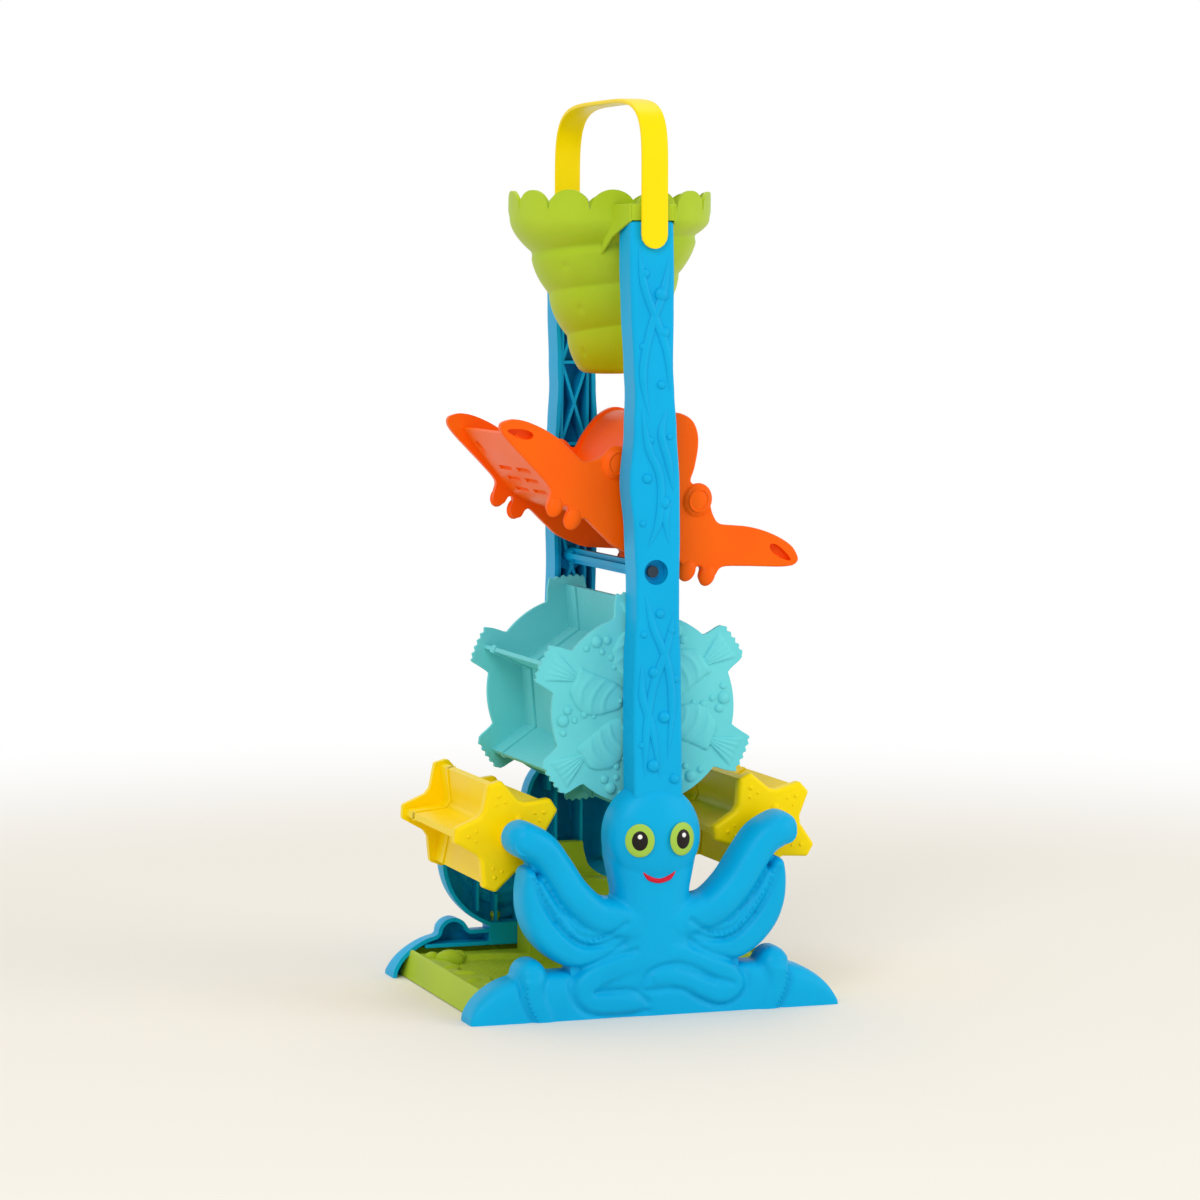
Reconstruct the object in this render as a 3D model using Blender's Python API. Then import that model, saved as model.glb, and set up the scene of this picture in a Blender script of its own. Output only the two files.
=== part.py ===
"""Sand funnel tower: two moulded side frames on a tray carry a funnel, a tilting crab tray and three wheels.

Millimetres in the sizes, metres in the meshes. X runs along the side frames, Y across them, Z up.
The origin is on the ground, under the middle of the tower.
"""
import math

import bmesh
import bpy
from mathutils import Matrix

MM = 0.001

# Fits
GAP = 0.3                 # between pieces that touch
RUN_CLEARANCE = 0.35      # round an axle, on the radius
SIDE_PLAY = 0.5           # a hub's end to the frame

# Side frames
INNER_Y = 71.0            # open side of each frame, from the middle, up to the foot of the column
LEAN = 0.04               # how far the column leans in for each unit of height
BODY_DEPTH = 21.0         # open side to the face of body, arms and base
HEAD_DEPTH = 24.0
COLUMN_DEPTH = 19.5       # open side to the face of the column
WALL = 2.4
BASE_HALF = 112.0
BASE_TOP = 29.0
BUMP_X = 77.0
BUMP_RADIUS = 10.0
BUMP_TOP = 36.0
LEDGE_THICKNESS = 2.4
HEAD_Z = 103.0
HEAD_HALF_WIDTH = 30.0
HEAD_HALF_HEIGHT = 31.0
COLUMN_FOOT_Z = 111.0
COLUMN_TOP = 460.0
COLUMN_TOP_HALF = 13.3
COLUMN_FOOT_HALF = 14.7
ARM_HALF = 11.0
BODY_ROUND = 6.0
COLUMN_ROUND = 2.0
RIB = 1.8
RIB_X = 7.4               # inner face of the two upright ribs
RIB_SETBACK = 2.0
RIB_CELL = 40.0
BOX_HALF = 52.0           # closed box in the middle of the base
BOX_TOP = 31.0

# Axles, all along Y
AXLE_RADIUS = 4.0
AXLE_SEAT = 11.0          # length held in each frame
BOSS_WALL = 2.4
BOSS_SETBACK = 0.5
STAR_X = 80.2
STAR_Z = 103.5
WHEEL_Z = 176.2
CRAB_Z = 284.5

# Tie bar and its screws
BAR_Z = 257.8
BAR_RADIUS = 4.5
BAR_WEB = 3.2
BAR_COLLAR = 8.0          # round end that shows inside the frame
RECESS_RADIUS = 7.25
RECESS_DEPTH = 8.0
SCREW_RADIUS = 1.5
SCREW_LENGTH = 12.0
SCREW_HEAD_RADIUS = 3.4
SCREW_HEAD_HEIGHT = 2.2

# Tray
TRAY_HALF_X = 103.0
TRAY_FOOT = 0.6
TRAY_TOP = 17.0
TRAY_WALL = 2.2
FLOOR_Z = 8.0             # underside of the tray floor
HILL_HALF = 34.0
HILL_DEPTH = 25.0
HILL_TOP = 54.0
TONGUE_TOP = 80.0
TONGUE_REACH = 6.0        # into the frame
FLARE_THICKNESS = 5.0
PEG_X = 45.0
PEG_RADIUS = 2.4
PEG_TOP = 36.0

# Funnel
OUTLET_Z = 372.0
OUTLET_RADIUS = 6.0
FUNNEL_TIP_RADIUS = 15.5
FUNNEL_NECK_Z = 448.0     # where the flared rim starts
FUNNEL_NECK_RADIUS = 48.5
RIM_RADIUS = 59.0
RIM_Z = 468.3
FLARE_POWER = 0.45        # how soon the rim spreads above the neck
FLARE_STEPS = (0.25, 0.55, 1.0)
SCALLOPS = 14
SCALLOP_HEIGHT = 10.0
SCALLOP_TURN = math.radians(240.0)   # a notch between two petals
SHELL_PITCH = 25.0        # rise of the spiral in one turn
SPIRAL_Z = 456.5          # height of the spiral's line at the +X side
SHELL_BULGE = 3.0
FUNNEL_WALL = 2.2
BRACKET_HALF = 13.3
BRACKET_HEIGHT = 10.0
CHEEK_DEPTH = 9.0
CHEEK_DROP = 18.0

# Handle
HANDLE_PIVOT_DROP = 8.0   # below the column top
HANDLE_HALF = 7.9
STRAP = 3.0
HANDLE_TOP = 532.0
HANDLE_SHOULDER_Z = 478.0
PEG_SHAFT_RADIUS = 3.5

# Crab
CRAB_TILT = math.radians(24.0)
CRAB_HALF_Y = 55.0
PLATE = 3.0
TROUGH_WALL = 2.0
TROUGH_FLOOR = -5.0       # below the axle
CHUTE_START = 46.0
CHUTE_END = 90.0
CHUTE_TOP = 17.0
HUMP_HALF = 17.5
HUMP_DROP = 2.5           # hump below the domes of the plates
DOME_TOP = 69.0
EYE_X = 27.5
EYE_Z = 26.0
EYE_RADIUS = 8.5
KEEL_HALF = 14.0

# Wheels
WHEEL_HALF_Y = 64.0
WHEEL_RADIUS = 56.2
LOBE_HEIGHT = 13.5
LOBES = 6
LOBE_ANGLE = math.radians(35.0)
WHEEL_HUB = 38.0          # corner radius of the hexagonal core
WHEEL_SEAM_Y = 39.5
STAR_HALF_Y = 58.0
STAR_RADIUS = 32.5
STAR_NOTCH = 22.0
STAR_POINTS = 5
STAR_HUB = 13.0
STAR_SEAM_Y = 32.0
LEFT_STAR_ANGLE = math.radians(33.0)
RIGHT_STAR_ANGLE = math.radians(42.5)
VANE = 2.2
END_PLATE = 3.0
HUB_TUBE_WALL = 2.4

ROUND_SIDES = 16
OUT = 12.0                # how far a cutter runs past what it cuts

BLUE = (0.0, 0.42, 0.75)
YELLOW = (0.96, 0.74, 0.0)
GREEN = (0.38, 0.56, 0.04)
ORANGE = (1.0, 0.14, 0.0)
TURQUOISE = (0.16, 0.63, 0.67)
STEEL = (0.55, 0.55, 0.56)


def clear_scene():
    for obj in list(bpy.data.objects):
        bpy.data.objects.remove(obj, do_unlink=True)


def material(name, color, roughness, metallic=0.0):
    mat = bpy.data.materials.new(name)
    mat.use_nodes = True
    shader = mat.node_tree.nodes["Principled BSDF"]
    shader.inputs["Base Color"].default_value = (*color, 1.0)
    shader.inputs["Roughness"].default_value = roughness
    shader.inputs["Metallic"].default_value = metallic
    return mat


def as_object(bm, name="tool"):
    bmesh.ops.recalc_face_normals(bm, faces=bm.faces)
    mesh = bpy.data.meshes.new(name)
    bm.to_mesh(mesh)
    bm.free()
    obj = bpy.data.objects.new(name, mesh)
    bpy.context.scene.collection.objects.link(obj)
    return obj


def loft(loops):
    """Closed solid through loops of (x, y, z) points, with the first and last loop filled."""
    bm = bmesh.new()
    rings = [[bm.verts.new((x * MM, y * MM, z * MM)) for x, y, z in loop] for loop in loops]
    for low, high in zip(rings, rings[1:]):
        for i in range(len(low)):
            j = (i + 1) % len(low)
            bm.faces.new((low[i], low[j], high[j], high[i]))
    bm.faces.new(rings[0])
    bm.faces.new(rings[-1])
    return as_object(bm)


def prism(outline, y0, y1):
    """XZ outline drawn out along Y."""
    return loft([[(x, y, z) for x, z in outline] for y in (y0, y1)])


def box(x0, x1, y0, y1, z0, z1):
    return prism([(x0, z0), (x1, z0), (x1, z1), (x0, z1)], y0, y1)


def ring(radius, sides=ROUND_SIDES, x=0.0, z=0.0, turn=0.0):
    steps = (turn + 2 * math.pi * i / sides for i in range(sides))
    return [(x + radius * math.cos(a), z + radius * math.sin(a)) for a in steps]


def rod(radius, y0, y1, x=0.0, z=0.0, sides=ROUND_SIDES):
    return prism(ring(radius, sides, x, z), y0, y1)


def both_ways(outline):
    """A half outline with x above zero, listed top to bottom, closed by its mirror image."""
    return outline + [(-x, z) for x, z in reversed(outline) if x > 0]


def boolean(target, tools, operation):
    for tool in tools:
        cut = target.modifiers.new("Boolean", "BOOLEAN")
        cut.operation = operation
        cut.object = tool
        shape = target.evaluated_get(bpy.context.evaluated_depsgraph_get())
        mesh = bpy.data.meshes.new_from_object(shape)
        target.modifiers.clear()
        target.data = mesh
        bpy.data.objects.remove(tool, do_unlink=True)
    return target


def join(target, *tools):
    return boolean(target, tools, "UNION")


def cut(target, *tools):
    return boolean(target, tools, "DIFFERENCE")


def finish(obj, name, mat, location=(0.0, 0.0, 0.0), tilt=0.0):
    """Name a finished piece, give it its material and put it in its place."""
    obj.name = name
    obj.data.name = name
    obj.data.materials.clear()
    obj.data.materials.append(mat)
    obj.location = [value * MM for value in location]
    obj.rotation_euler = (0.0, tilt, 0.0)
    obj.data.shade_smooth()
    obj.data.set_sharp_from_angle(angle=math.radians(35.0))
    return obj


def smooth_path(points, per_span):
    """Points along a Catmull-Rom curve through the given tuples."""
    ends = [points[0]] + list(points) + [points[-1]]
    path = []
    for p0, p1, p2, p3 in zip(ends, ends[1:], ends[2:], ends[3:]):
        for step in range(per_span):
            t = step / per_span
            path.append(tuple(
                0.5 * (2 * b + (c - a) * t + (2 * a - 5 * b + 4 * c - d) * t * t + (3 * b - a - 3 * c + d) * t ** 3)
                for a, b, c, d in zip(p0, p1, p2, p3)))
    path.append(tuple(points[-1]))
    return path


def ribbon(stations, inset, per_span=2, cap_steps=5):
    """Outline round a centre line of (x, z, half width), with a round end at its last point."""
    path = smooth_path(stations, per_span)
    left, right = [], []
    for i, (x, z, half) in enumerate(path):
        x0, z0, _ = path[max(i - 1, 0)]
        x1, z1, _ = path[min(i + 1, len(path) - 1)]
        length = math.hypot(x1 - x0, z1 - z0)
        nx, nz = -(z1 - z0) / length, (x1 - x0) / length
        left.append((x + nx * (half - inset), z + nz * (half - inset)))
        right.append((x - nx * (half - inset), z - nz * (half - inset)))
    x, z, half = path[-1]
    start = math.atan2(left[-1][1] - z, left[-1][0] - x)
    cap = [(x + (half - inset) * math.cos(start - math.pi * k / cap_steps),
            z + (half - inset) * math.sin(start - math.pi * k / cap_steps)) for k in range(1, cap_steps)]
    return left + cap + right[::-1]


def inner_y(z):
    """Open side of a frame at height z: upright at the body, leaning in along the column."""
    return INNER_Y - LEAN * max(0.0, z - COLUMN_FOOT_Z)


def outer_y(z):
    """Face of the column at height z."""
    return inner_y(z) + COLUMN_DEPTH


def upright(_):
    return INNER_Y


def flat_faced(obj):
    """Cut the faces into triangles, so that every face is flat for the booleans that follow."""
    bm = bmesh.new()
    bm.from_mesh(obj.data)
    bmesh.ops.triangulate(bm, faces=bm.faces)
    bm.to_mesh(obj.data)
    bm.free()
    return obj


def limb(outline, depth, rounding, inset=0.0, start=-OUT, plane=upright):
    """Solid from the frame's open side out to depth, its front edge rounded; inset shrinks it all over."""
    face = depth - inset
    steps = [(0.0, start), (0.0, face - rounding), (0.3 * rounding, face - 0.3 * rounding), (rounding, face)]
    return flat_faced(loft([[(x, -(plane(z) + y), z) for x, z in outline(inset + shrink)] for shrink, y in steps]))


def column_outline(inset):
    """Upright with gently waving edges: (middle, height, half width) from the foot to the top."""
    stations = [
        (0.4, COLUMN_FOOT_Z, COLUMN_FOOT_HALF),
        (0.4, WHEEL_Z, COLUMN_FOOT_HALF),
        (1.3, BAR_Z - 20.0, COLUMN_FOOT_HALF - 1.3),
        (1.3, CRAB_Z - 6.0, COLUMN_FOOT_HALF - 0.6),
        (0.1, CRAB_Z + 25.0, COLUMN_FOOT_HALF + 0.5),
        (0.8, CRAB_Z + 52.0, COLUMN_TOP_HALF),
        (0.0, COLUMN_TOP - 88.0, COLUMN_TOP_HALF - 0.9),
        (-0.4, COLUMN_TOP - 40.0, COLUMN_TOP_HALF),
        (-0.4, COLUMN_TOP, COLUMN_TOP_HALF),
    ]
    path = smooth_path(stations, 2)
    top = COLUMN_TOP - inset
    right = [(x + half - inset, min(z, top)) for x, z, half in path]
    left = [(x - half + inset, min(z, top)) for x, z, half in path]
    return right + left[::-1]


def head_outline(inset):
    return [(x, HEAD_Z + z * (HEAD_HALF_HEIGHT - inset) / (HEAD_HALF_WIDTH - inset))
            for x, z in ring(HEAD_HALF_WIDTH - inset, 24)]


def body_outline(inset):
    half = [(24.0, HEAD_Z - 20.0 + inset), (24.5, HEAD_Z - 32.0), (32.0, 56.0), (44.0, 40.0), (48.0, 12.0 - inset)]
    return both_ways([(x - inset, z) for x, z in half])


def upper_arm_outline(side):
    stations = [(16.0, 52.0, ARM_HALF + 1.0), (38.0, 60.0, ARM_HALF + 1.0), (54.0, 80.0, ARM_HALF + 1.0),
                (66.0, 98.0, ARM_HALF + 0.5), (STAR_X, STAR_Z, ARM_HALF)]
    return lambda inset: ribbon([(side * x, z, half) for x, z, half in stations], inset)


def lower_arm_outline(side):
    stations = [(22.0, 34.0, ARM_HALF + 1.0), (50.0, 41.0, ARM_HALF + 1.0), (66.0, 56.0, ARM_HALF + 1.0),
                (71.0, 72.0, ARM_HALF + 1.0), (69.0, 84.0, ARM_HALF - 1.0)]
    return lambda inset: ribbon([(side * x, z, half) for x, z, half in stations], inset)


def base_outline(inset):
    """Long foot with a low hump near each end."""
    hump_z = BUMP_TOP - BUMP_RADIUS
    hump = [(BUMP_X + (BUMP_RADIUS - inset) * math.cos(a), hump_z + (BUMP_RADIUS - inset) * math.sin(a))
            for a in (math.radians(d) for d in (145.0, 110.0, 75.0, 40.0, 5.0))]
    slope = [(BASE_HALF - 18.0 - inset, 24.5 - inset), (BASE_HALF - 8.0 - inset, 17.0 - inset),
             (BASE_HALF - 1.5 - inset, 7.0 - inset), (BASE_HALF - inset, 2.0), (BASE_HALF - inset, -OUT)]
    return both_ways([(40.0, BASE_TOP - inset), (BUMP_X - BUMP_RADIUS - 4.0, BASE_TOP - inset)] + hump + slope)


def axle_places():
    return [(0.0, CRAB_Z, COLUMN_DEPTH), (0.0, WHEEL_Z, COLUMN_DEPTH),
            (-STAR_X, STAR_Z, BODY_DEPTH), (STAR_X, STAR_Z, BODY_DEPTH)]


def handle_pivot():
    return COLUMN_TOP - HANDLE_PIVOT_DROP


def leaning_rib(outline, back):
    near = COLUMN_DEPTH - 0.5 * WALL
    return loft([[(x, -(inner_y(z) + y), z) for x, z in outline] for y in (near, back)])


def ribs():
    """Two upright ribs in the body and the column, with crossed ribs between them in the column."""
    top = handle_pivot() - 3.0 * PEG_SHAFT_RADIUS
    pieces = []
    for side in (-1, 1):
        x0, x1 = sorted((side * RIB_X, side * (RIB_X + RIB)))
        pieces.append(box(x0, x1, -(INNER_Y + BODY_DEPTH - 0.5 * WALL), -(INNER_Y + RIB_SETBACK),
                          BOX_TOP - 0.5 * WALL, COLUMN_FOOT_Z + RIB))
        pieces.append(leaning_rib([(x0, COLUMN_FOOT_Z), (x1, COLUMN_FOOT_Z), (x1, top), (x0, top)], RIB_SETBACK))
    first = HEAD_Z + HEAD_HALF_HEIGHT
    cells = int((top - first) / RIB_CELL)
    reach = RIB_X + 0.5 * RIB
    half = 0.5 * RIB
    for i in range(cells):
        low = first + i * RIB_CELL
        for slope in (-1, 1):
            outline = [(-slope * reach, low - half), (-slope * reach, low + half),
                       (slope * reach, low + RIB_CELL + half), (slope * reach, low + RIB_CELL - half)]
            pieces.append(leaning_rib(outline, RIB_SETBACK + 1.0))
    return pieces


def side_frame():
    """Front frame: hollow limbs, ribs, bosses, the box over the tray and the holes for pegs and screws."""
    limbs = [(head_outline, HEAD_DEPTH, 2.0 * BODY_ROUND), (body_outline, BODY_DEPTH, BODY_ROUND),
             (base_outline, BODY_DEPTH, BODY_ROUND)]
    for side in (-1, 1):
        limbs.append((upper_arm_outline(side), BODY_DEPTH - 1.0, BODY_ROUND))
        limbs.append((lower_arm_outline(side), BODY_DEPTH - 2.0, BODY_ROUND))
    column = (column_outline, COLUMN_DEPTH, COLUMN_ROUND)
    front = -(INNER_Y + BODY_DEPTH)
    wide = 2 * BASE_HALF
    frame = join(*[limb(*each) for each in limbs])
    cut(frame, box(-wide, wide, -INNER_Y, 0.0, -2 * OUT, COLUMN_TOP))
    join(frame, limb(*column, start=0.0, plane=inner_y))
    cut(frame, *[limb(*each, inset=WALL) for each in limbs])
    cut(frame, limb(*column, inset=WALL, plane=inner_y))
    ledge = TRAY_TOP + GAP
    ledge_reach = BASE_HALF - 10.0
    join(frame, box(-ledge_reach, ledge_reach, front + 0.5 * WALL, -INNER_Y + OUT, ledge, ledge + LEDGE_THICKNESS))
    join(frame, box(-BOX_HALF, BOX_HALF, front + 0.5 * WALL, -INNER_Y + OUT, ledge + 0.5, BOX_TOP))
    bore = AXLE_RADIUS + GAP
    for x, z, depth in axle_places():
        boss = sorted((-(inner_y(z) + depth - 0.5 * WALL), -(inner_y(z) + BOSS_SETBACK)))
        join(frame, rod(bore + BOSS_WALL, *boss, x, z))
    column_front = -outer_y(BAR_Z)
    cup = column_front + RECESS_DEPTH
    join(frame, rod(RECESS_RADIUS + WALL, column_front + 0.5 * WALL, cup + WALL, 0.0, BAR_Z))
    join(frame, *ribs())
    cut(frame, box(WALL - BOX_HALF, BOX_HALF - WALL, front + WALL, -INNER_Y - WALL,
                   ledge + LEDGE_THICKNESS, BOX_TOP - WALL))
    cut(frame, box(-wide, wide, -INNER_Y, 0.0, -2 * OUT, BOX_TOP + OUT))
    cut(frame, box(-wide, wide, 2 * front, 0.0, -2 * OUT, 0.0))
    reach = tray_half_y() + GAP
    cut(frame, box(-TRAY_HALF_X - GAP, TRAY_HALF_X + GAP, -reach, 0.0, -OUT, TRAY_TOP + GAP))
    for x, z, _ in axle_places():
        cut(frame, rod(bore, -(inner_y(z) + AXLE_SEAT + GAP), 0.0, x, z))
    cut(frame, rod(RECESS_RADIUS, 2 * front, cup, 0.0, BAR_Z, 24))
    cut(frame, rod(BAR_RADIUS + GAP, -bar_half_length() - 0.5 * GAP, 0.0, 0.0, BAR_Z))
    cut(frame, rod(SCREW_RADIUS + GAP, 2 * front, 0.0, 0.0, BAR_Z))
    cut(frame, rod(PEG_SHAFT_RADIUS + RUN_CLEARANCE, 2 * front, 0.0, 0.0, handle_pivot()))
    for side in (-1, 1):
        hole = ring(PEG_RADIUS + GAP, 12)
        loops = [[(side * PEG_X + x, -peg_y() + y, z) for x, y in hole] for z in (TRAY_TOP - 1.0, BOX_TOP + 1.0)]
        cut(frame, loft(loops))
    return frame


def mirrored(obj):
    copy = bpy.data.objects.new("mirror", obj.data.copy())
    bpy.context.scene.collection.objects.link(copy)
    copy.data.transform(Matrix.Scale(-1.0, 4, (0.0, 1.0, 0.0)))
    copy.data.flip_normals()
    return copy


def tray_half_y():
    return INNER_Y + BODY_DEPTH - WALL - GAP


def peg_y():
    return INNER_Y + 0.5 * BODY_DEPTH


def base_tray():
    """Shallow tray with a skirt, and at each long side a flared hill whose tongue plugs into the frame."""
    half_y = tray_half_y()
    tray = box(-TRAY_HALF_X, TRAY_HALF_X, -half_y, half_y, TRAY_FOOT, TRAY_TOP)
    inside_x = TRAY_HALF_X - TRAY_WALL
    inside_y = half_y - TRAY_WALL
    cut(tray, box(-inside_x, inside_x, -inside_y, inside_y, FLOOR_Z + TRAY_WALL, TRAY_TOP + OUT))
    flare = both_ways([(RIB_X - GAP, TONGUE_TOP), (RIB_X + 2.0, TONGUE_TOP - 12.0), (RIB_X + 6.0, TONGUE_TOP - 18.0),
                       (0.5 * HILL_HALF + 4.0, HILL_TOP + 3.0), (HILL_HALF, HILL_TOP), (HILL_HALF, FLOOR_Z + 1.0)])
    for side in (-1, 1):
        face = side * (INNER_Y - GAP)
        join(tray, prism(flare, face, face - side * FLARE_THICKNESS))
        hill_y = sorted((face - side * GAP, face - side * HILL_DEPTH))
        join(tray, box(-HILL_HALF + GAP, HILL_HALF - GAP, *hill_y, FLOOR_Z + 0.5, HILL_TOP - GAP))
        tongue = sorted((face - side * GAP, face + side * TONGUE_REACH))
        join(tray, box(-RIB_X + 2 * GAP, RIB_X - 2 * GAP, *tongue, BOX_TOP + 2.0, TONGUE_TOP - GAP))
        hollow = sorted((face - side * TRAY_WALL, face - side * (HILL_DEPTH - TRAY_WALL)))
        cut(tray, box(-HILL_HALF + TRAY_WALL, HILL_HALF - TRAY_WALL, *hollow, TRAY_FOOT - 1.0, HILL_TOP - TRAY_WALL))
    cut(tray, box(-inside_x, inside_x, -inside_y, inside_y, -OUT, FLOOR_Z))
    for side in (-1, 1):
        for x in (-PEG_X, PEG_X):
            loops = [[(x + px, side * peg_y() + py, z) for px, py in ring(PEG_RADIUS, 12)]
                     for z in (FLOOR_Z + 1.0, PEG_TOP)]
            join(tray, loft(loops))
    return tray


def bar_half_length():
    return outer_y(BAR_Z) - RECESS_DEPTH - WALL - GAP


def tie_bar():
    """Bar of cross-shaped section with a round end and a pilot hole at each side."""
    half = bar_half_length()
    w = 0.5 * BAR_WEB
    r = BAR_RADIUS
    section = [(w, r), (w, w), (r, w), (r, -w), (w, -w), (w, -r), (-w, -r), (-w, -w), (-r, -w), (-r, w), (-w, w), (-w, r)]
    bar = prism(section, -half + 1.0, half - 1.0)
    for side in (-1, 1):
        join(bar, rod(BAR_RADIUS, *sorted((side * half, side * (inner_y(BAR_Z) - BAR_COLLAR)))))
        pilot = sorted((side * (half + 1.0), side * (half - SCREW_LENGTH)))
        cut(bar, rod(SCREW_RADIUS + GAP, *pilot))
    return bar


def tie_bar_screw(side):
    """Pan-head screw at one end of the bar, driven from the recess of the column."""
    seat = outer_y(BAR_Z) - RECESS_DEPTH + GAP
    head = rod(SCREW_HEAD_RADIUS, *sorted((side * seat, side * (seat + SCREW_HEAD_HEIGHT))))
    tip = seat - WALL - SCREW_LENGTH + 2.0
    return join(head, rod(SCREW_RADIUS, *sorted((side * (seat + 1.0), side * tip)), sides=12))


def cone_radius(z):
    """Funnel radius without the spiral bulge: a cone up to the neck, then the flared rim."""
    if z <= FUNNEL_NECK_Z:
        return FUNNEL_TIP_RADIUS + (FUNNEL_NECK_RADIUS - FUNNEL_TIP_RADIUS) * (z - OUTLET_Z) / (FUNNEL_NECK_Z - OUTLET_Z)
    rise = (z - FUNNEL_NECK_Z) / (RIM_Z - FUNNEL_NECK_Z)
    return FUNNEL_NECK_RADIUS + (RIM_RADIUS - FUNNEL_NECK_RADIUS) * rise ** FLARE_POWER


def shell_bulge(angle, z):
    """Rounded tiers that climb one pitch in a turn, fading out at the rim and the tip."""
    phase = ((SPIRAL_Z - z) / SHELL_PITCH + angle / (2 * math.pi)) % 1.0
    fade = min(1.0, max(0.0, (FUNNEL_NECK_Z + 4.0 - z) / 10.0), (z - OUTLET_Z) / 10.0)
    return SHELL_BULGE * math.sin(math.pi * phase) ** 0.6 * fade


def funnel():
    """Spiral cone with a scalloped rim, and a bracket on each side that sits on a column top."""
    sides = 4 * SCALLOPS
    angles = [SCALLOP_TURN + 2 * math.pi * i / sides for i in range(sides)]
    levels = 11
    heights = [OUTLET_Z + (FUNNEL_NECK_Z - OUTLET_Z) * i / levels for i in range(levels + 1)]
    loops = []
    for z in heights:
        radii = [cone_radius(z) + shell_bulge(a, z) for a in angles]
        loops.append([(r * math.cos(a), r * math.sin(a), z) for r, a in zip(radii, angles)])
    for share in FLARE_STEPS:
        loop = []
        for a in angles:
            scallop = SCALLOP_HEIGHT * abs(math.sin(0.5 * SCALLOPS * (a - SCALLOP_TURN))) * share
            z = FUNNEL_NECK_Z + (RIM_Z - FUNNEL_NECK_Z) * share
            radius = cone_radius(z) + 0.1 * scallop
            loop.append((radius * math.cos(a), radius * math.sin(a), z + scallop))
        loops.append(loop)
    lid = RIM_RADIUS - 3.0 * FUNNEL_WALL
    loops.append([(lid * math.cos(a), lid * math.sin(a), RIM_Z) for a in angles])
    cone = flat_faced(loft(loops))
    seat = COLUMN_TOP + GAP
    cheek_z = handle_pivot()
    face = inner_y(COLUMN_TOP) - GAP
    brackets = []
    for side in (-1, 1):
        outer = side * outer_y(COLUMN_TOP)
        inner = side * (FUNNEL_NECK_RADIUS - 6.0)
        brackets.append(box(-BRACKET_HALF, BRACKET_HALF, *sorted((outer, inner)), seat, seat + BRACKET_HEIGHT))
        cheek = [(-BRACKET_HALF, seat + 1.0), (BRACKET_HALF, seat + 1.0),
                 (0.6 * BRACKET_HALF, cheek_z - 0.5 * CHEEK_DROP), (-0.6 * BRACKET_HALF, cheek_z - 0.5 * CHEEK_DROP)]
        brackets.append(prism(cheek, *sorted((side * face, side * (face - CHEEK_DEPTH)))))
    join(cone, *brackets)
    inside = [OUTLET_Z + 3.0 * FUNNEL_WALL, FUNNEL_NECK_Z]
    inside += [FUNNEL_NECK_Z + (RIM_Z - FUNNEL_NECK_Z) * share for share in FLARE_STEPS]
    inside.append(RIM_Z + 2.0 * SCALLOP_HEIGHT)
    cavity = [(math.cos(a), math.sin(a)) for a in angles]
    loops = [[(c * (cone_radius(z) - FUNNEL_WALL), s * (cone_radius(z) - FUNNEL_WALL), z) for c, s in cavity]
             for z in inside]
    cut(cone, loft(loops))
    outlet = ring(OUTLET_RADIUS, 24)
    cut(cone, loft([[(x, y, z) for x, y in outlet] for z in (OUTLET_Z - OUT, OUTLET_Z + OUT)]))
    for side in (-1, 1):
        socket = sorted((side * (face + 1.0), side * (face - CHEEK_DEPTH + FUNNEL_WALL)))
        cut(cone, rod(PEG_SHAFT_RADIUS + RUN_CLEARANCE, *socket, 0.0, handle_pivot()))
    return cone


def handle():
    """Strap bent in one arch over the funnel, with a round end and a peg at each side; origin on the pegs."""
    pivot = handle_pivot()
    inside = outer_y(pivot - HANDLE_HALF) + GAP
    bend = 3.2
    steps = 18
    end_angles = [math.radians(d) for d in (78.0, 55.0, 30.0, 0.0)]
    stations = [(-1.0, -HANDLE_HALF * math.sin(a), HANDLE_HALF * math.cos(a), 0.0) for a in end_angles]
    for i in range(steps + 1):
        c = -math.cos(math.pi * i / steps)
        s = math.sin(math.pi * i / steps)
        rise = max(s, 0.0) ** (2.0 / bend)
        across = math.copysign(abs(c) ** (2.0 / bend), c)
        height = HANDLE_SHOULDER_Z - pivot + rise * (HANDLE_TOP - STRAP - HANDLE_SHOULDER_Z)
        stations.append((across, height, HANDLE_HALF, rise))
    stations += [(1.0, height, half, rise) for _, height, half, rise in stations[len(end_angles) - 1::-1]]
    loops = []
    for across, height, half, rise in stations:
        loops.append([(x, across * (inside + lift), height + rise * lift)
                      for x, lift in ((-half, 0.0), (half, 0.0), (half, STRAP), (-half, STRAP))])
    strap = loft(loops)
    for side in (-1, 1):
        tip = side * (inner_y(COLUMN_TOP) - CHEEK_DEPTH + FUNNEL_WALL)
        join(strap, rod(PEG_SHAFT_RADIUS, *sorted((side * (inside + 0.5 * STRAP), tip))))
    return strap


def plate_outline():
    """Crab seen from the front: domed back, raised eyes, claws held out, two stub legs and a flat keel."""
    keel = (CRAB_Z - BAR_Z) * math.cos(CRAB_TILT) - BAR_RADIUS - GAP
    dome = [(5.0, DOME_TOP - 1.0), (10.5, DOME_TOP - 6.0), (15.0, DOME_TOP - 14.0), (19.0, DOME_TOP - 28.0)]
    eye = [(EYE_X + EYE_RADIUS * math.cos(a), EYE_Z + EYE_RADIUS * math.sin(a))
           for a in (math.radians(d) for d in (140.0, 95.0, 50.0, 5.0))]
    claw = [(49.0, 20.0), (64.0, 25.5), (78.0, 27.0), (90.0, 24.5), (98.5, 19.0), (99.5, 15.0), (95.0, 9.5),
            (80.0, 3.5), (58.0, -4.5)]
    legs = [(55.0, -13.0), (52.0, -16.5), (48.0, -15.5), (46.0, -9.0), (43.0, -9.5), (42.0, -16.0), (38.5, -19.0),
            (34.5, -17.0), (33.0, -13.0)]
    return both_ways(dome + eye + claw + legs + [(KEEL_HALF + 4.0, -15.5), (KEEL_HALF, -keel)])


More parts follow.
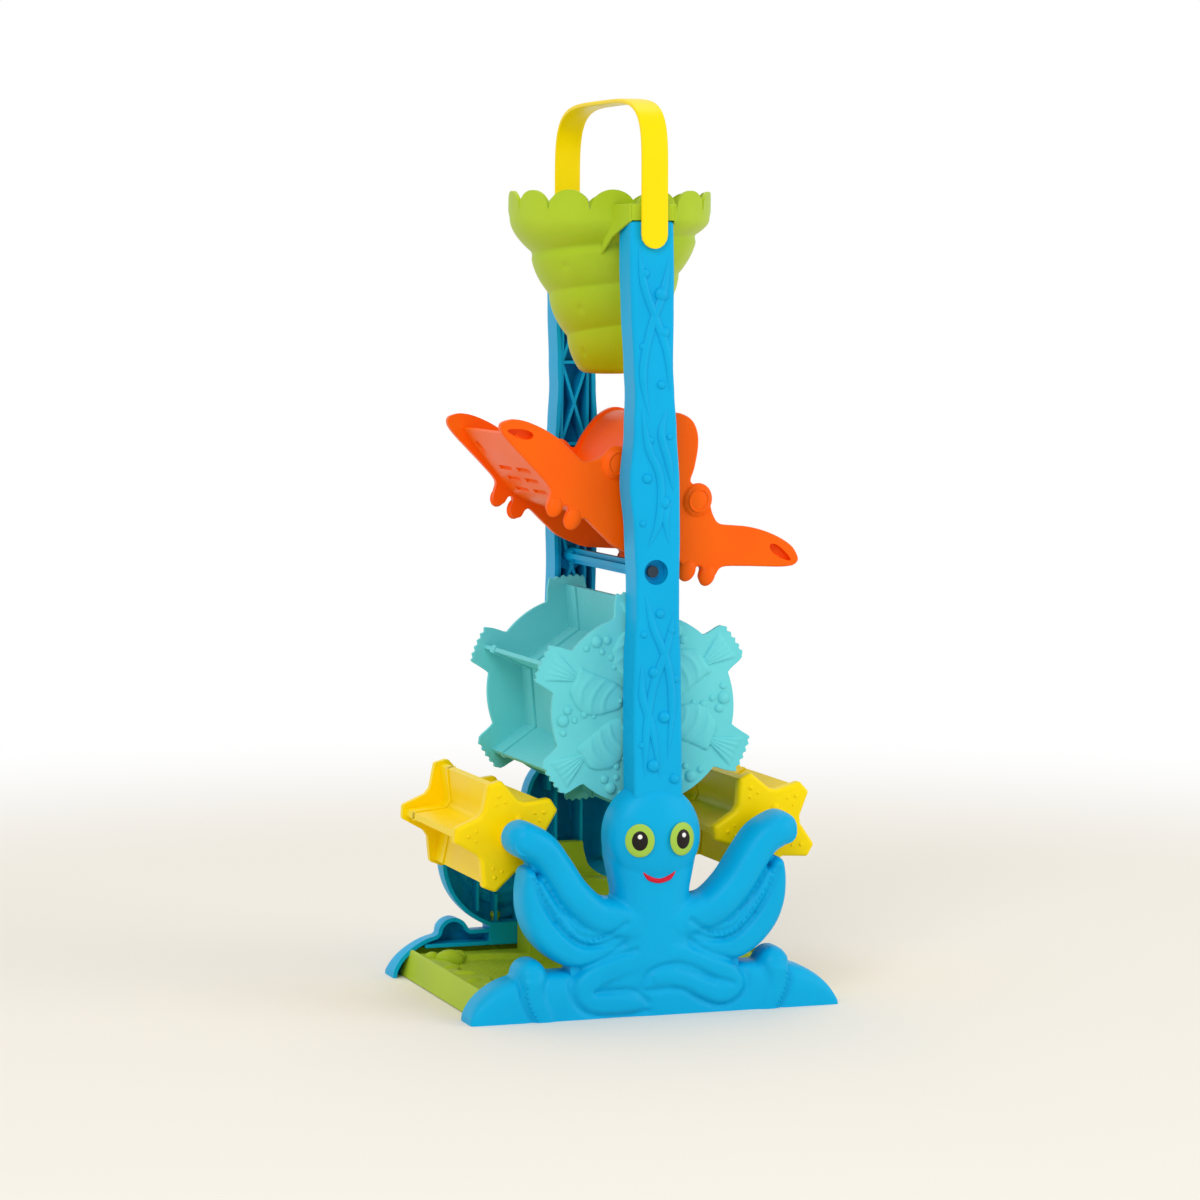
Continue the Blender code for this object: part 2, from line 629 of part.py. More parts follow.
def dome(radius, squash, side, x, y, z):
    bm = bmesh.new()
    bmesh.ops.create_uvsphere(bm, u_segments=12, v_segments=6, radius=radius * MM)
    bmesh.ops.transform(bm, matrix=Matrix.Diagonal((1.0, squash, 1.0, 1.0)), verts=bm.verts)
    bmesh.ops.translate(bm, vec=(x * MM, side * y * MM, z * MM), verts=bm.verts)
    return as_object(bm)


def crab_plate(side):
    outer = side * CRAB_HALF_Y
    inner = side * (CRAB_HALF_Y - PLATE)
    plate = prism(plate_outline(), *sorted((outer, inner)))
    for x in (-EYE_X, EYE_X):
        join(plate, dome(EYE_RADIUS - 1.5, 0.5, side, x, CRAB_HALF_Y - 0.5, EYE_Z))
    bore = AXLE_RADIUS + RUN_CLEARANCE
    hub = sorted((side * (inner_y(CRAB_Z) - SIDE_PLAY), side * (CRAB_HALF_Y - 0.5 * PLATE)))
    join(plate, rod(bore + BOSS_WALL, *hub))
    cut(plate, rod(bore, *sorted((side * INNER_Y, side * (CRAB_HALF_Y - 2.0 * PLATE)))))
    return plate


def crab_trough():
    """Bent floor: a sloping chute to each claw, a level stretch and a tall hump that parts left from right."""
    top = DOME_TOP - HUMP_DROP
    half = [(0.17 * HUMP_HALF, top), (0.51 * HUMP_HALF, top - 5.0), (0.74 * HUMP_HALF, top - 13.0),
            (0.94 * HUMP_HALF, top - 27.0), (HUMP_HALF, TROUGH_FLOOR + 4.0), (HUMP_HALF + TROUGH_WALL, TROUGH_FLOOR),
            (CHUTE_START, TROUGH_FLOOR), (CHUTE_END, CHUTE_TOP)]
    under = [(x, z - TROUGH_WALL * 1.05) for x, z in half[-3:]]
    wall = [(x - TROUGH_WALL, z) for x, z in half[3:5]]
    back = [(half[0][0], top - TROUGH_WALL), (half[1][0] - TROUGH_WALL, half[1][1] - 0.75 * TROUGH_WALL),
            (half[2][0] - TROUGH_WALL, half[2][1] - 0.25 * TROUGH_WALL)]
    right = half + under[::-1] + [(HUMP_HALF - TROUGH_WALL, TROUGH_FLOOR - TROUGH_WALL)] + wall[::-1] + back[::-1]
    left = [(-x, z) for x, z in right]
    outline = right + left[::-1]
    reach = CRAB_HALF_Y - PLATE - GAP
    return prism(outline, -reach, reach)


def lobed_disc():
    """End disc of the big wheel: round, with a rounded lobe at each paddle."""
    per_lobe = 10
    outline = []
    for i in range(per_lobe * LOBES):
        angle = LOBE_ANGLE + 2 * math.pi * i / (per_lobe * LOBES)
        lift = min(1.0, max(0.0, 1.6 * math.cos(LOBES * (angle - LOBE_ANGLE))))
        radius = WHEEL_RADIUS + LOBE_HEIGHT * lift
        outline.append((radius * math.cos(angle), radius * math.sin(angle)))
    return outline


def star_outline(turn):
    """Rounded star: two points at each tip and one in each notch."""
    outline = []
    step = math.pi / STAR_POINTS
    for i in range(STAR_POINTS):
        tip = turn + 2 * i * step
        for offset in (-0.15, 0.15):
            outline.append((STAR_RADIUS * math.cos(tip + offset), STAR_RADIUS * math.sin(tip + offset)))
        notch = tip + step
        outline.append((STAR_NOTCH * math.cos(notch), STAR_NOTCH * math.sin(notch)))
    return outline


def spoke(angle, inner, outer, thickness):
    c, s = math.cos(angle), math.sin(angle)
    half = 0.5 * thickness
    return [(r * c - h * s, r * s + h * c) for r, h in ((inner, -half), (outer, -half), (outer, half), (inner, half))]


def wheel_half(end_outline, vanes, turn, core, reach, half_y, seam, z, side):
    """One half of a paddle wheel: end plate, hollow core, hub tube and vanes, all as far as the seam."""
    end = side * half_y
    plate_inside = side * (half_y - END_PLATE)
    joint = seam - 0.5 * GAP if side < 0 else seam + 0.5 * GAP
    into_plate = side * (half_y - 0.5 * END_PLATE)
    wheel = prism(end_outline, *sorted((end, plate_inside)))
    core_ring = ring(core, vanes, turn=turn)
    join(wheel, prism(core_ring, *sorted((into_plate, joint))))
    for i in range(vanes):
        angle = turn + 2 * math.pi * i / vanes
        join(wheel, prism(spoke(angle, core - 3.0, reach, VANE), *sorted((into_plate, joint))))
    thin = ring(core - VANE / math.cos(math.pi / vanes), vanes, turn=turn)
    cut(wheel, prism(thin, *sorted((plate_inside, joint - side * OUT))))
    bore = AXLE_RADIUS + RUN_CLEARANCE
    hub_end = side * (inner_y(z) - SIDE_PLAY)
    join(wheel, rod(bore + HUB_TUBE_WALL, *sorted((hub_end, joint))))
    cut(wheel, rod(bore, *sorted((hub_end + side * OUT, joint - side * OUT))))
    return wheel


def axle(name, mat, x, z):
    half = inner_y(z) + AXLE_SEAT
    finish(rod(AXLE_RADIUS, -half, half), name, mat, (x, 0.0, z))


def build():
    clear_scene()
    blue = material("blue_plastic", BLUE, 0.4)
    yellow = material("yellow_plastic", YELLOW, 0.4)
    green = material("green_plastic", GREEN, 0.4)
    orange = material("orange_plastic", ORANGE, 0.4)
    turquoise = material("turquoise_plastic", TURQUOISE, 0.4)
    steel = material("screw_steel", STEEL, 0.3, 1.0)

    front = side_frame()
    finish(mirrored(front), "rear_frame", blue)
    finish(front, "front_frame", blue)
    finish(base_tray(), "base_tray", green)
    finish(tie_bar(), "tie_bar", blue, (0.0, 0.0, BAR_Z))
    for side, end in ((-1, "front"), (1, "rear")):
        finish(tie_bar_screw(side), f"{end}_bar_screw", steel, (0.0, 0.0, BAR_Z))
    finish(funnel(), "funnel", green)
    finish(handle(), "handle", yellow, (0.0, 0.0, handle_pivot()))

    crab_place = (0.0, 0.0, CRAB_Z)
    finish(crab_plate(-1), "crab_front_plate", orange, crab_place, CRAB_TILT)
    finish(crab_plate(1), "crab_rear_plate", orange, crab_place, CRAB_TILT)
    finish(crab_trough(), "crab_trough", orange, crab_place, CRAB_TILT)
    axle("crab_axle", orange, 0.0, CRAB_Z)

    for side, name in ((-1, "wheel_front_half"), (1, "wheel_rear_half")):
        half = wheel_half(lobed_disc(), LOBES, LOBE_ANGLE, WHEEL_HUB, WHEEL_RADIUS + 0.6 * LOBE_HEIGHT,
                          WHEEL_HALF_Y, WHEEL_SEAM_Y, WHEEL_Z, side)
        finish(half, name, turquoise, (0.0, 0.0, WHEEL_Z))
    axle("wheel_axle", turquoise, 0.0, WHEEL_Z)

    for place, x, turn in (("left", -STAR_X, LEFT_STAR_ANGLE), ("right", STAR_X, RIGHT_STAR_ANGLE)):
        for side, end in ((-1, "front"), (1, "rear")):
            half = wheel_half(star_outline(turn), STAR_POINTS, turn, STAR_HUB, STAR_RADIUS - 2.0,
                              STAR_HALF_Y, STAR_SEAM_Y, STAR_Z, side)
            finish(half, f"{place}_star_{end}_half", yellow, (x, 0.0, STAR_Z))
        axle(f"{place}_star_axle", yellow, x, STAR_Z)


build()
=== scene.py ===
from math import atan, atan2, copysign, cos, exp, hypot, pi, radians, sin
from types import SimpleNamespace

import bmesh
import bpy
from mathutils import Matrix, Vector
from mathutils.bvhtree import BVHTree
from mathutils.kdtree import KDTree


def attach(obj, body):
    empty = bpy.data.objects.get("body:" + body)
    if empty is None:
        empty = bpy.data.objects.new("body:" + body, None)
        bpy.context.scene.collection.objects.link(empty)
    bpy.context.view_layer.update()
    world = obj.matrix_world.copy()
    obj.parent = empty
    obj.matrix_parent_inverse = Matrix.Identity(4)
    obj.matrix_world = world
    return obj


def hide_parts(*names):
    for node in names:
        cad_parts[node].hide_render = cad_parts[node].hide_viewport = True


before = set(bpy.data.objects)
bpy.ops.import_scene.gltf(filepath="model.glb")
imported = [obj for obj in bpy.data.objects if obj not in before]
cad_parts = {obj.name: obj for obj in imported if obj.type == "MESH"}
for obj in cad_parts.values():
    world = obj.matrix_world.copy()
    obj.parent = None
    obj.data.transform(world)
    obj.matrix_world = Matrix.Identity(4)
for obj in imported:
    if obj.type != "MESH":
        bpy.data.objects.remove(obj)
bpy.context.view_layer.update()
mm = 0.001
bothEnds = ((-1, "front"), (1, "rear"))
print("frame loaded:", len(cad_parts), "nodes")


# materials

def linearColour(text):
    parts = [int(text[i:i + 2], 16) / 255 for i in (1, 3, 5)]
    return [p / 12.92 if p <= 0.04045 else ((p + 0.055) / 1.055) ** 2.4 for p in parts] + [1.0]


def addNode(tree, kind, values=(), links=(), **settings):
    node = tree.nodes.new("ShaderNode" + kind)
    for key, value in settings.items():
        setattr(node, key, value)
    for socket, value in dict(values).items():
        node.inputs[socket].default_value = value
    for socket, source in dict(links).items():
        tree.links.new(source, node.inputs[socket])
    return node


# noise with features of about this many mm
def addNoise(tree, place, size, detail):
    values = {"Scale": 1.0 / (size * mm), "Detail": detail}
    return addNode(tree, "TexNoise", values, {"Vector": place}).outputs["Fac"]


def addGrain(tree, height, strength, depth):
    values = {"Strength": strength, "Distance": depth * mm}
    return addNode(tree, "Bump", values, {"Height": height}).outputs["Normal"]


def newMaterial(name):
    material = bpy.data.materials.new(name)
    material.use_nodes = True
    tree = material.node_tree
    tree.nodes.clear()
    surface = addNode(tree, "OutputMaterial").inputs["Surface"]
    place = addNode(tree, "TexCoord").outputs["Object"]
    return material, tree, surface, place


# Injection-moulded polypropylene: satin, evenly coloured right through, with faint flow clouding,
# a fine spark-eroded grain and a softly uneven sheen. Grain is drawn at 0.9 mm, coarser than real, to show.
# A look with a low colour also gets painted shade, a tint that darkens it towards its bottom.
def mouldedPolypropylene(name, look):
    material, tree, surface, place = newMaterial(name)
    thin, thick = look["cloudBand"]
    cloud = addNoise(tree, place, look["cloud"], 3.0)
    tone = addNode(tree, "ValToRGB", links={"Fac": cloud})
    for element, position, key in zip(tone.color_ramp.elements, (thin, thick), ("shade", "colour")):
        element.position = position
        element.color = linearColour(look[key])
    colour = tone.outputs["Color"]
    sheen = addNode(tree, "MapRange",
                    {"From Min": thin, "From Max": thick, "To Min": look["roughness"] - look["uneven"],
                     "To Max": look["roughness"] + look["uneven"]}, {"Value": cloud})
    speckle = addNoise(tree, place, look["grain"], 2.0)
    grain = addGrain(tree, speckle, look["grainStrength"], look["grainDepth"])
    if "low" in look:
        # painted shade: a tint that deepens downwards between two heights, darker towards the funnel's bottom
        lowZ, highZ = look["lowBand"]
        height = addNode(tree, "SeparateXYZ", links={"Vector": place})
        fade = addNode(tree, "MapRange", {"From Min": lowZ * mm, "From Max": highZ * mm},
                       {"Value": height.outputs["Z"]})
        paintedShadeTint = addNode(tree, "MixRGB", {"Color1": linearColour(look["low"])},
                       {"Fac": fade.outputs["Result"], "Color2": colour})
        colour = paintedShadeTint.outputs["Color"]
    shader = addNode(tree, "BsdfPrincipled", {"IOR": look["ior"], "Specular IOR Level": look["gloss"]},
                     {"Base Color": colour, "Roughness": sheen.outputs["Result"], "Normal": grain})
    tree.links.new(shader.outputs["BSDF"], surface)
    return material


# Zinc-plated steel of the two bar screws: dull, with fine turning marks; its dark grey colour is painted
# shade, as deep in their recesses.
def platedSteel(name, look):
    material, tree, surface, place = newMaterial(name)
    smooth, rough = look["roughness"]
    marks = addNoise(tree, place, look["marks"], 2.0)
    sheen = addNode(tree, "MapRange", {"To Min": smooth, "To Max": rough}, {"Value": marks})
    grain = addGrain(tree, marks, look["markStrength"], look["markDepth"])
    shader = addNode(tree, "BsdfPrincipled", {"Base Color": linearColour(look["colour"]), "Metallic": 1.0},
                     {"Roughness": sheen.outputs["Result"], "Normal": grain})
    tree.links.new(shader.outputs["BSDF"], surface)
    return material


plasticLooks = {
    "bluePolypropylene": {"colour": "#00AEE2", "shade": "#00A8DC", "roughness": 0.42},
    "yellowPolypropylene": {"colour": "#FFE000", "shade": "#FBD800", "roughness": 0.36},
    "limePolypropylene": {"colour": "#B2CC30", "shade": "#A8C322", "roughness": 0.42},
    # the funnel's lime, with painted shade darkening it towards its bottom
    "limeFunnelPaintedShadePolypropylene": {"colour": "#B2CC30", "shade": "#A8C322", "roughness": 0.42,
                                "low": "#B4BC0C", "lowBand": (374, 425)},
    "orangePolypropylene": {"colour": "#FF6600", "shade": "#FF5E00", "roughness": 0.4},
    "turquoisePolypropylene": {"colour": "#70D6DA", "shade": "#66CFD4", "roughness": 0.46},
    "eyeRingPaint": {"colour": "#A9CE52", "shade": "#A2C84A", "roughness": 0.3},
    "eyeDarkPaint": {"colour": "#2A2320", "shade": "#211B18", "roughness": 0.22},
    "eyeGlintPaint": {"colour": "#FBFAF5", "shade": "#F5F3EC", "roughness": 0.25},
    "mouthPaint": {"colour": "#D8203A", "shade": "#CF1B34", "roughness": 0.3},
}
plasticFinish = {
    "cloud": 40, "cloudBand": (0.3, 0.7), "uneven": 0.05, "grain": 0.9, "grainStrength": 0.2,
    "grainDepth": 0.12, "ior": 1.49, "gloss": 0.13,
}
plastics = {name: mouldedPolypropylene(name, plasticFinish | look) for name, look in plasticLooks.items()}
blue, yellow, lime, funnelLime, orange, turquoise = list(plastics.values())[:6]
# dark grey colour: painted shade of the deep recesses the screws sit in
steel = platedSteel("zincPlatedSteel", {"colour": "#3C4750", "roughness": (0.38, 0.52), "marks": 0.8,
                                        "markStrength": 0.15, "markDepth": 0.1})
print("materials ready")


# small modelling helpers, sizes in mm

def spline(p0, p1, p2, p3, perSpan):
    for step in range(perSpan):
        t = step / perSpan
        yield tuple(0.5 * (2 * b + (c - a) * t + (2 * a - 5 * b + 4 * c - d) * t * t
                           + (3 * b - a - 3 * c + d) * t ** 3) for a, b, c, d in zip(p0, p1, p2, p3))


def smoothSpans(points, perSpan):
    spans = zip(points, points[1:], points[2:], points[3:])
    return [point for span in spans for point in spline(*span, perSpan)]


def smoothPath(points, perSpan):
    return smoothSpans([points[0], *points, points[-1]], perSpan) + [tuple(points[-1])]


def smoothLoop(points, perSpan):
    return smoothSpans([points[-1], *points, *points[:2]], perSpan)


# unit direction of a path at one of its points
def heading(path, i):
    back, ahead = path[max(i - 1, 0)], path[min(i + 1, len(path) - 1)]
    return Vector((ahead[0] - back[0], ahead[1] - back[1])).normalized()


def onCircle(radius, degrees, beside=0.0):
    a = radians(degrees)
    return radius * cos(a) - beside * sin(a), radius * sin(a) + beside * cos(a)


def evenTurns(first, count):
    return [first + 360.0 * i / count for i in range(count)]


def bothSides(half):
    return half + [(-x, z) for x, z in reversed(half)]


def signedPower(value, power):
    return copysign(abs(value) ** power, value)


def smoothStep(t):
    t = min(1.0, max(0.0, t))
    return t * t * (3 - 2 * t)


# each item once, in the order met, where a set's order would change from run to run
def once(items):
    return list(dict.fromkeys(items))


def edgesOf(verts):
    return once(e for v in verts for e in v.link_edges)


def vertsIn(geom):
    return [g for g in geom if isinstance(g, bmesh.types.BMVert)]


def faceOut(bm, faces=None):
    bmesh.ops.recalc_face_normals(bm, faces=faces or bm.faces)


def move(bm, verts, shift):
    bmesh.ops.translate(bm, vec=shift, verts=verts)


def turn(bm, verts, angle, axis, centre=(0, 0, 0)):
    bmesh.ops.rotate(bm, cent=centre, matrix=Matrix.Rotation(angle, 3, axis), verts=verts)


def roundEdges(bm, edges, radius, segments, clamp=False):
    return bmesh.ops.bevel(bm, geom=edges, offset=radius, segments=segments, profile=0.5, affect="EDGES",
                           material=-1, clamp_overlap=clamp)["verts"]


def addRing(bm, centre, across, up, sides, squareness):
    verts = bmesh.ops.create_circle(bm, segments=sides, radius=1.0)["verts"]
    for v in verts:
        c, s = signedPower(v.co.x, 2 / squareness), signedPower(v.co.y, 2 / squareness)
        v.co = centre + across * c + up * s
    return verts


# tube through stations of (centre, across, up), each a vector in mm
def addSweep(bm, stations, sides, squareness=2.0):
    rings = [addRing(bm, *station, sides, squareness) for station in stations]
    loops = [edgesOf(ring) for ring in rings]
    for low, high in zip(loops, loops[1:]):
        bmesh.ops.bridge_loops(bm, edges=low + high)
    for ring in (rings[0], rings[-1]):
        bmesh.ops.contextual_create(bm, geom=ring)
    return [v for ring in rings for v in ring]


# puffy arm along a line of (x, z, half width) in the plane y, rounded at its far end
def addLimb(bm, y, depth, squareness, line, sides=32, perSpan=5):
    path = smoothPath(line, perSpan)
    deep = Vector((0.0, depth, 0.0))
    stations = []
    for i, (x, z, half) in enumerate(path):
        along = heading(path, i)
        centre, normal = Vector((x, y, z)), Vector((-along.y, 0.0, along.x)) * half
        stations.append((centre, normal, deep))
    # rounded end beyond the last station
    for a in map(radians, (25, 48, 66, 80)):
        ahead = Vector((along.x, 0.0, along.y)) * (half * sin(a))
        stations.append((centre + ahead, normal * cos(a), deep * (0.45 + 0.55 * cos(a))))
    addSweep(bm, stations, sides, squareness)


# raised line along (x, z) points on the face y, half sunk in it and thinner at both ends
def addRidge(bm, points, y, half, height, sides=10, perSpan=6):
    path = smoothPath(points, perSpan)
    rows = []
    for i, (x, z) in enumerate(path):
        along = heading(path, i)
        share = min(1.0, (min(i, len(path) - 1 - i) + 0.4) / perSpan)
        rows.append((Vector((x, y, z)), Vector((-along.y, 0.0, along.x)) * (half * share),
                     Vector((0.0, height * share, 0.0))))
    return addSweep(bm, rows, sides)


def addDome(bm, place, size, segments):
    rings = max(6, segments // 2)
    verts = bmesh.ops.create_uvsphere(bm, u_segments=segments, v_segments=rings, radius=1.0)["verts"]
    bmesh.ops.scale(bm, vec=size, verts=verts)
    move(bm, verts, place)
    return verts


# block between two opposite corners
def addBlock(bm, corner, opposite, rounding=0.0):
    spans = [sorted(pair) for pair in zip(corner, opposite)]
    verts = bmesh.ops.create_cube(bm, size=1.0)["verts"]
    bmesh.ops.scale(bm, vec=[high - low for low, high in spans], verts=verts)
    move(bm, verts, [0.5 * (low + high) for low, high in spans])
    return roundEdges(bm, edgesOf(verts), rounding, 2) if rounding else verts


# flat square grid from -1 to 1, to be shaped
def addGrid(bm, across, along):
    return bmesh.ops.create_grid(bm, x_segments=across, y_segments=along, size=1.0)["verts"]


# round rod along y between two ends
def addRod(bm, radius, end, otherEnd, x=0.0, z=0.0, sides=32, rounding=0.0):
    turned = Matrix.Translation((x, 0.5 * (end + otherEnd), z)) @ Matrix.Rotation(radians(90), 4, "X")
    verts = bmesh.ops.create_cone(bm, cap_ends=True, segments=sides, radius1=radius, radius2=radius,
                                  depth=abs(otherEnd - end), matrix=turned)["verts"]
    if rounding:
        rims = [e for e in edgesOf(verts) if abs(e.verts[0].co.y - e.verts[1].co.y) < 0.01]
        roundEdges(bm, rims, rounding, 3)


# round post along z about its middle
def addPost(bm, radius, height, middle):
    bmesh.ops.create_cone(bm, cap_ends=True, segments=24, radius1=radius, radius2=radius, depth=height,
                          matrix=Matrix.Translation(middle))


# plate from an outline of (x, z) between two planes, with its outer or both edges rounded
def addPlate(bm, outline, yFace, yBack, rounding, segments=4, both=False):
    before = set(bm.faces)
    face = bm.faces.new([bm.verts.new((x, yFace, z)) for x, z in outline])
    far = vertsIn(bmesh.ops.extrude_face_region(bm, geom=[face])["geom"])
    move(bm, far, (0.0, yBack - yFace, 0.0))
    faces = [f for f in bm.faces if f not in before]
    faceOut(bm, faces)
    if rounding:
        planes = (yFace, yBack) if both else (yFace,)
        rims = [e for e in once(e for f in faces for e in f.edges)
                if any(all(abs(v.co.y - plane) < 1e-4 for v in e.verts) for plane in planes)]
        roundEdges(bm, rims, rounding, segments, True)


# give an open sheet a back, so that its relief is a closed body
def closeSheet(bm, verts, shift):
    rim = [e for e in edgesOf(verts) if e.is_boundary]
    low = vertsIn(bmesh.ops.extrude_edge_only(bm, edges=rim)["geom"])
    move(bm, low, shift)
    bmesh.ops.contextual_create(bm, geom=low)
    faceOut(bm, once(f for v in verts + low for f in v.link_faces))


def addObject(name, data):
    made = bpy.data.objects.new(name, data)
    bpy.context.scene.collection.objects.link(made)
    return made


def linkMesh(bm, name):
    mesh = bpy.data.meshes.new(name)
    bm.to_mesh(mesh)
    bm.free()
    return addObject(name, mesh)


def newObject(bm, name):
    bmesh.ops.dissolve_degenerate(bm, dist=0.003, edges=bm.edges)
    bmesh.ops.scale(bm, vec=(mm, mm, mm), verts=bm.verts)
    return linkMesh(bm, name)


def backToMesh(piece):
    bm = bmesh.new()
    bm.from_mesh(piece.data)
    bmesh.ops.scale(bm, vec=(1 / mm, 1 / mm, 1 / mm), verts=bm.verts)
    bpy.data.objects.remove(piece)
    return bm


def modify(piece, kind, **settings):
    modifier = piece.modifiers.new(kind, kind)
    for key, value in settings.items():
        setattr(modifier, key, value)


def bakeModifiers(piece):
    graph = bpy.context.evaluated_depsgraph_get()
    mesh = bpy.data.meshes.new_from_object(piece.evaluated_get(graph))
    old = piece.data
    piece.modifiers.clear()
    piece.data = mesh
    bpy.data.meshes.remove(old)
    return piece


def thicken(piece, wall, offset=-1.0):
    modify(piece, "SOLIDIFY", thickness=wall * mm, offset=offset)
    return bakeModifiers(piece)


def cutAway(piece, hole):
    cutter = newObject(hole, piece.name + "Hole")
    modify(piece, "BOOLEAN", operation="DIFFERENCE", solver="EXACT", use_self=True, object=cutter)
    bakeModifiers(piece)
    bpy.data.objects.remove(cutter)
    return backToMesh(piece)


def toRear(bm, side=1):
    if side > 0:
        bmesh.ops.scale(bm, vec=(1, -1, 1), verts=bm.verts)
        bmesh.ops.reverse_faces(bm, faces=bm.faces)


def mirrorAcross(piece, name):
    bm = bmesh.new()
    bm.from_mesh(piece.data)
    toRear(bm)
    return linkMesh(bm, name)


def finishPiece(piece, material, body, nodes=(), sharpAngle=40.0, weigh=True):
    piece.data.materials.clear()
    piece.data.materials.append(material)
    for polygon in piece.data.polygons:
        polygon.material_index = 0
    piece.data.shade_smooth()
    piece.data.set_sharp_from_angle(angle=radians(sharpAngle))
    if weigh:
        modify(piece, "WEIGHTED_NORMAL", keep_sharp=True)   # keeps big flats flat beside bevels
    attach(piece, body)
    if nodes:
        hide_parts(*nodes)


# side frames

# a limb is its depth, the squareness of its section and a line of (x, z, half width)
frameShape = {
    "openY": -71.0, "wall": 2.4, "lean": 0.04, "footZ": 111.0, "voxel": 1.1, "headZ": 104.5,
    "head": (28.6, 25.0, 30.5), "headPower": 0.4,
    "trunk": {
        "neck": (21.5, 3.0, [(0, 104, 28), (0, 96, 28), (0, 87, 26.5), (0, 80, 25), (0, 72, 23.5),
            (0, 62, 23.5), (0, 48, 26), (0, 30, 40)]),
        "skirt": (21.1, 3.2, [(0, 44, 20), (0, 34, 30), (0, 26, 46), (0, 18, 50)])},
    "pairs": {
        "upperArm": (21.5, 3.0, [(10, 52, 13.5), (24, 56, 12.2), (37, 60, 11.6), (50, 72.5, 11.2),
            (60, 87.5, 11), (68.5, 99, 10.8), (79, 105, 10.6)]),
        "lowerArm": (19.5, 3.8, [(14, 37, 8), (30, 36, 8), (46, 36.5, 8.4), (58, 42.5, 9), (68, 53, 9),
            (73.5, 64.5, 8), (76, 76, 6), (76.5, 85, 4)]),
        "suckerBand": (18.8, 4.0, [(18, 46, 6), (34, 46, 5.5), (47, 49.5, 5), (57.5, 58.5, 4.6), (65, 69, 4),
            (71, 80, 3.2)]),
        "bump": (20.5, 3.2, [(75, 8, 9.5), (75, 18, 9.8), (75, 25.5, 10)]),
        "band": (21.6, 5.0, [(76, 24, 7), (75, 14, 7), (71, 5, 7), (68, -4, 7)])},
    "curls": {
        "left": (21.6, 4.6, [(-2, 34, 9), (-18, 31, 8.5), (-34, 26, 8.5), (-44.5, 18, 8.2), (-40, 10, 7.6),
            (-27, 8, 7), (-13, 7.5, 5.6)]),
        "right": (22.2, 4.6, [(6, 36, 9), (24, 31, 8.5), (40, 24, 8.5), (47, 15.5, 8), (38, 11, 7.5),
            (22, 17, 7.2), (8, 22.5, 6.5), (-2, 21.5, 5)])},
    "baseDepth": 20.0,
    "base": bothSides([(-113.5, 2.5), (-112.3, 6), (-108.5, 12), (-102.5, 17.5), (-95, 22), (-88, 24.5),
        (-78, 26), (-60, 27.5)]),
    "grooveHalf": 1.7, "grooveDepth": 1.5,
    "pairGrooves": [
        [(75, 89), (67, 77), (57, 61), (48, 50), (38, 47), (29, 49), (20, 55)],
        [(75, 82), (69, 67), (55, 49), (42, 42), (25, 46)],
        [(20, 43), (34, 34), (51, 29)],
        [(83, 25), (82.5, 14), (77, 1)]],
    "curlGrooves": [
        [(-14, 39), (-29, 35), (-44, 30), (-52, 23), (-53, 16), (-48, 7), (-39, 2), (-20, 1), (-6, 3)],
        [(-6, 8), (-12, 14), (-21, 16), (-38, 15)],
        [(22, 39), (34, 33), (51, 27), (56, 20), (55, 13), (46, 5), (36, 4), (25, 9), (13, 15), (-8, 15),
            (-9, 19), (-5, 26), (8, 30), (20, 28), (34, 21), (46, 17)]],
    "stud": (0.9, 0.8, 0.9),
    "studRows": [
        (3.4, [(74, 84), (68, 72), (56, 55), (45, 46), (32, 47)]),
        (2.8, [(80, 24), (79.5, 14), (74, 2)])],
}
columnShape = {
    "depth": 19.5, "hollowInset": (1.4, 1.6, 2.0), "foot": 112.0, "top": 460.0, "cuts": 64, "edge": 2.2,
    "recessZ": 257.8, "recess": 7.25, "recessDepth": 8.0, "recessBack": 8.0, "pinZ": 452.0, "pin": 4.0,
    "pinBack": 2.0, "drillFrom": 30.0, "ridgeHalf": 2.5, "ridgeHeight": 1.5, "bubbleFlat": 0.75,
    "bubbleSink": 0.3,
    "sides": [(100, 0.4, 14.8), (145, 0.4, 14.9), (181, 0.5, 14.8), (205, 0.7, 14.5), (229, 1.1, 13.4),
        (250, 1.4, 13.3), (280, 1.3, 14.1), (309, 0.1, 15.3), (339, 0.8, 13.2), (361, 0.6, 12.1),
        (376, 0.0, 12.1), (409, -0.3, 13.1), (431, -0.4, 13.6), (462, -0.4, 13.3)],
    "ridges": [
        [(-9, 446), (-6, 424), (1, 404), (8, 384), (9, 362)],
        [(8, 352), (4, 338), (8, 322), (11, 304)],
        [(10, 440), (6, 420), (-2, 398), (-7, 372), (-3, 346)],
        [(11, 300), (6, 290), (8, 274)],
        [(-8, 352), (-4, 330), (3, 312), (2, 288), (-5, 272)],
        [(-9, 206), (-9, 186), (-3, 166), (1, 138)],
        [(-7, 246), (-2, 226), (6, 206), (9, 182), (6, 150)],
        [(11, 236), (6, 214), (-3, 190), (-7, 164), (-8, 138)]],
    "bubbles": [(-5, 430, 2.8), (4.5, 418, 4.2), (6, 396, 3.4), (-7, 388, 2.2), (4, 366, 2.6),
        (-3, 334, 2.4), (9, 336, 2.0), (-5, 312, 3.0), (5, 298, 3.8), (-8, 286, 2.0), (2, 234, 2.8),
        (-8, 222, 2.2), (9, 224, 2.4), (-2, 200, 3.4), (11, 196, 2.4), (4, 174, 3.6), (-10, 158, 2.0),
        (-3, 146, 3.8), (10, 138, 3.0)],
}


# wavy edges of the column: middle and half width at height z
def columnSides(z):
    stations = columnShape["sides"]
    for (z0, m0, h0), (z1, m1, h1) in zip(stations, stations[1:]):
        if z <= z1:
            t = smoothStep((z - z0) / (z1 - z0))
            return m0 + (m1 - m0) * t, h0 + (h1 - h0) * t
    return stations[-1][1:]


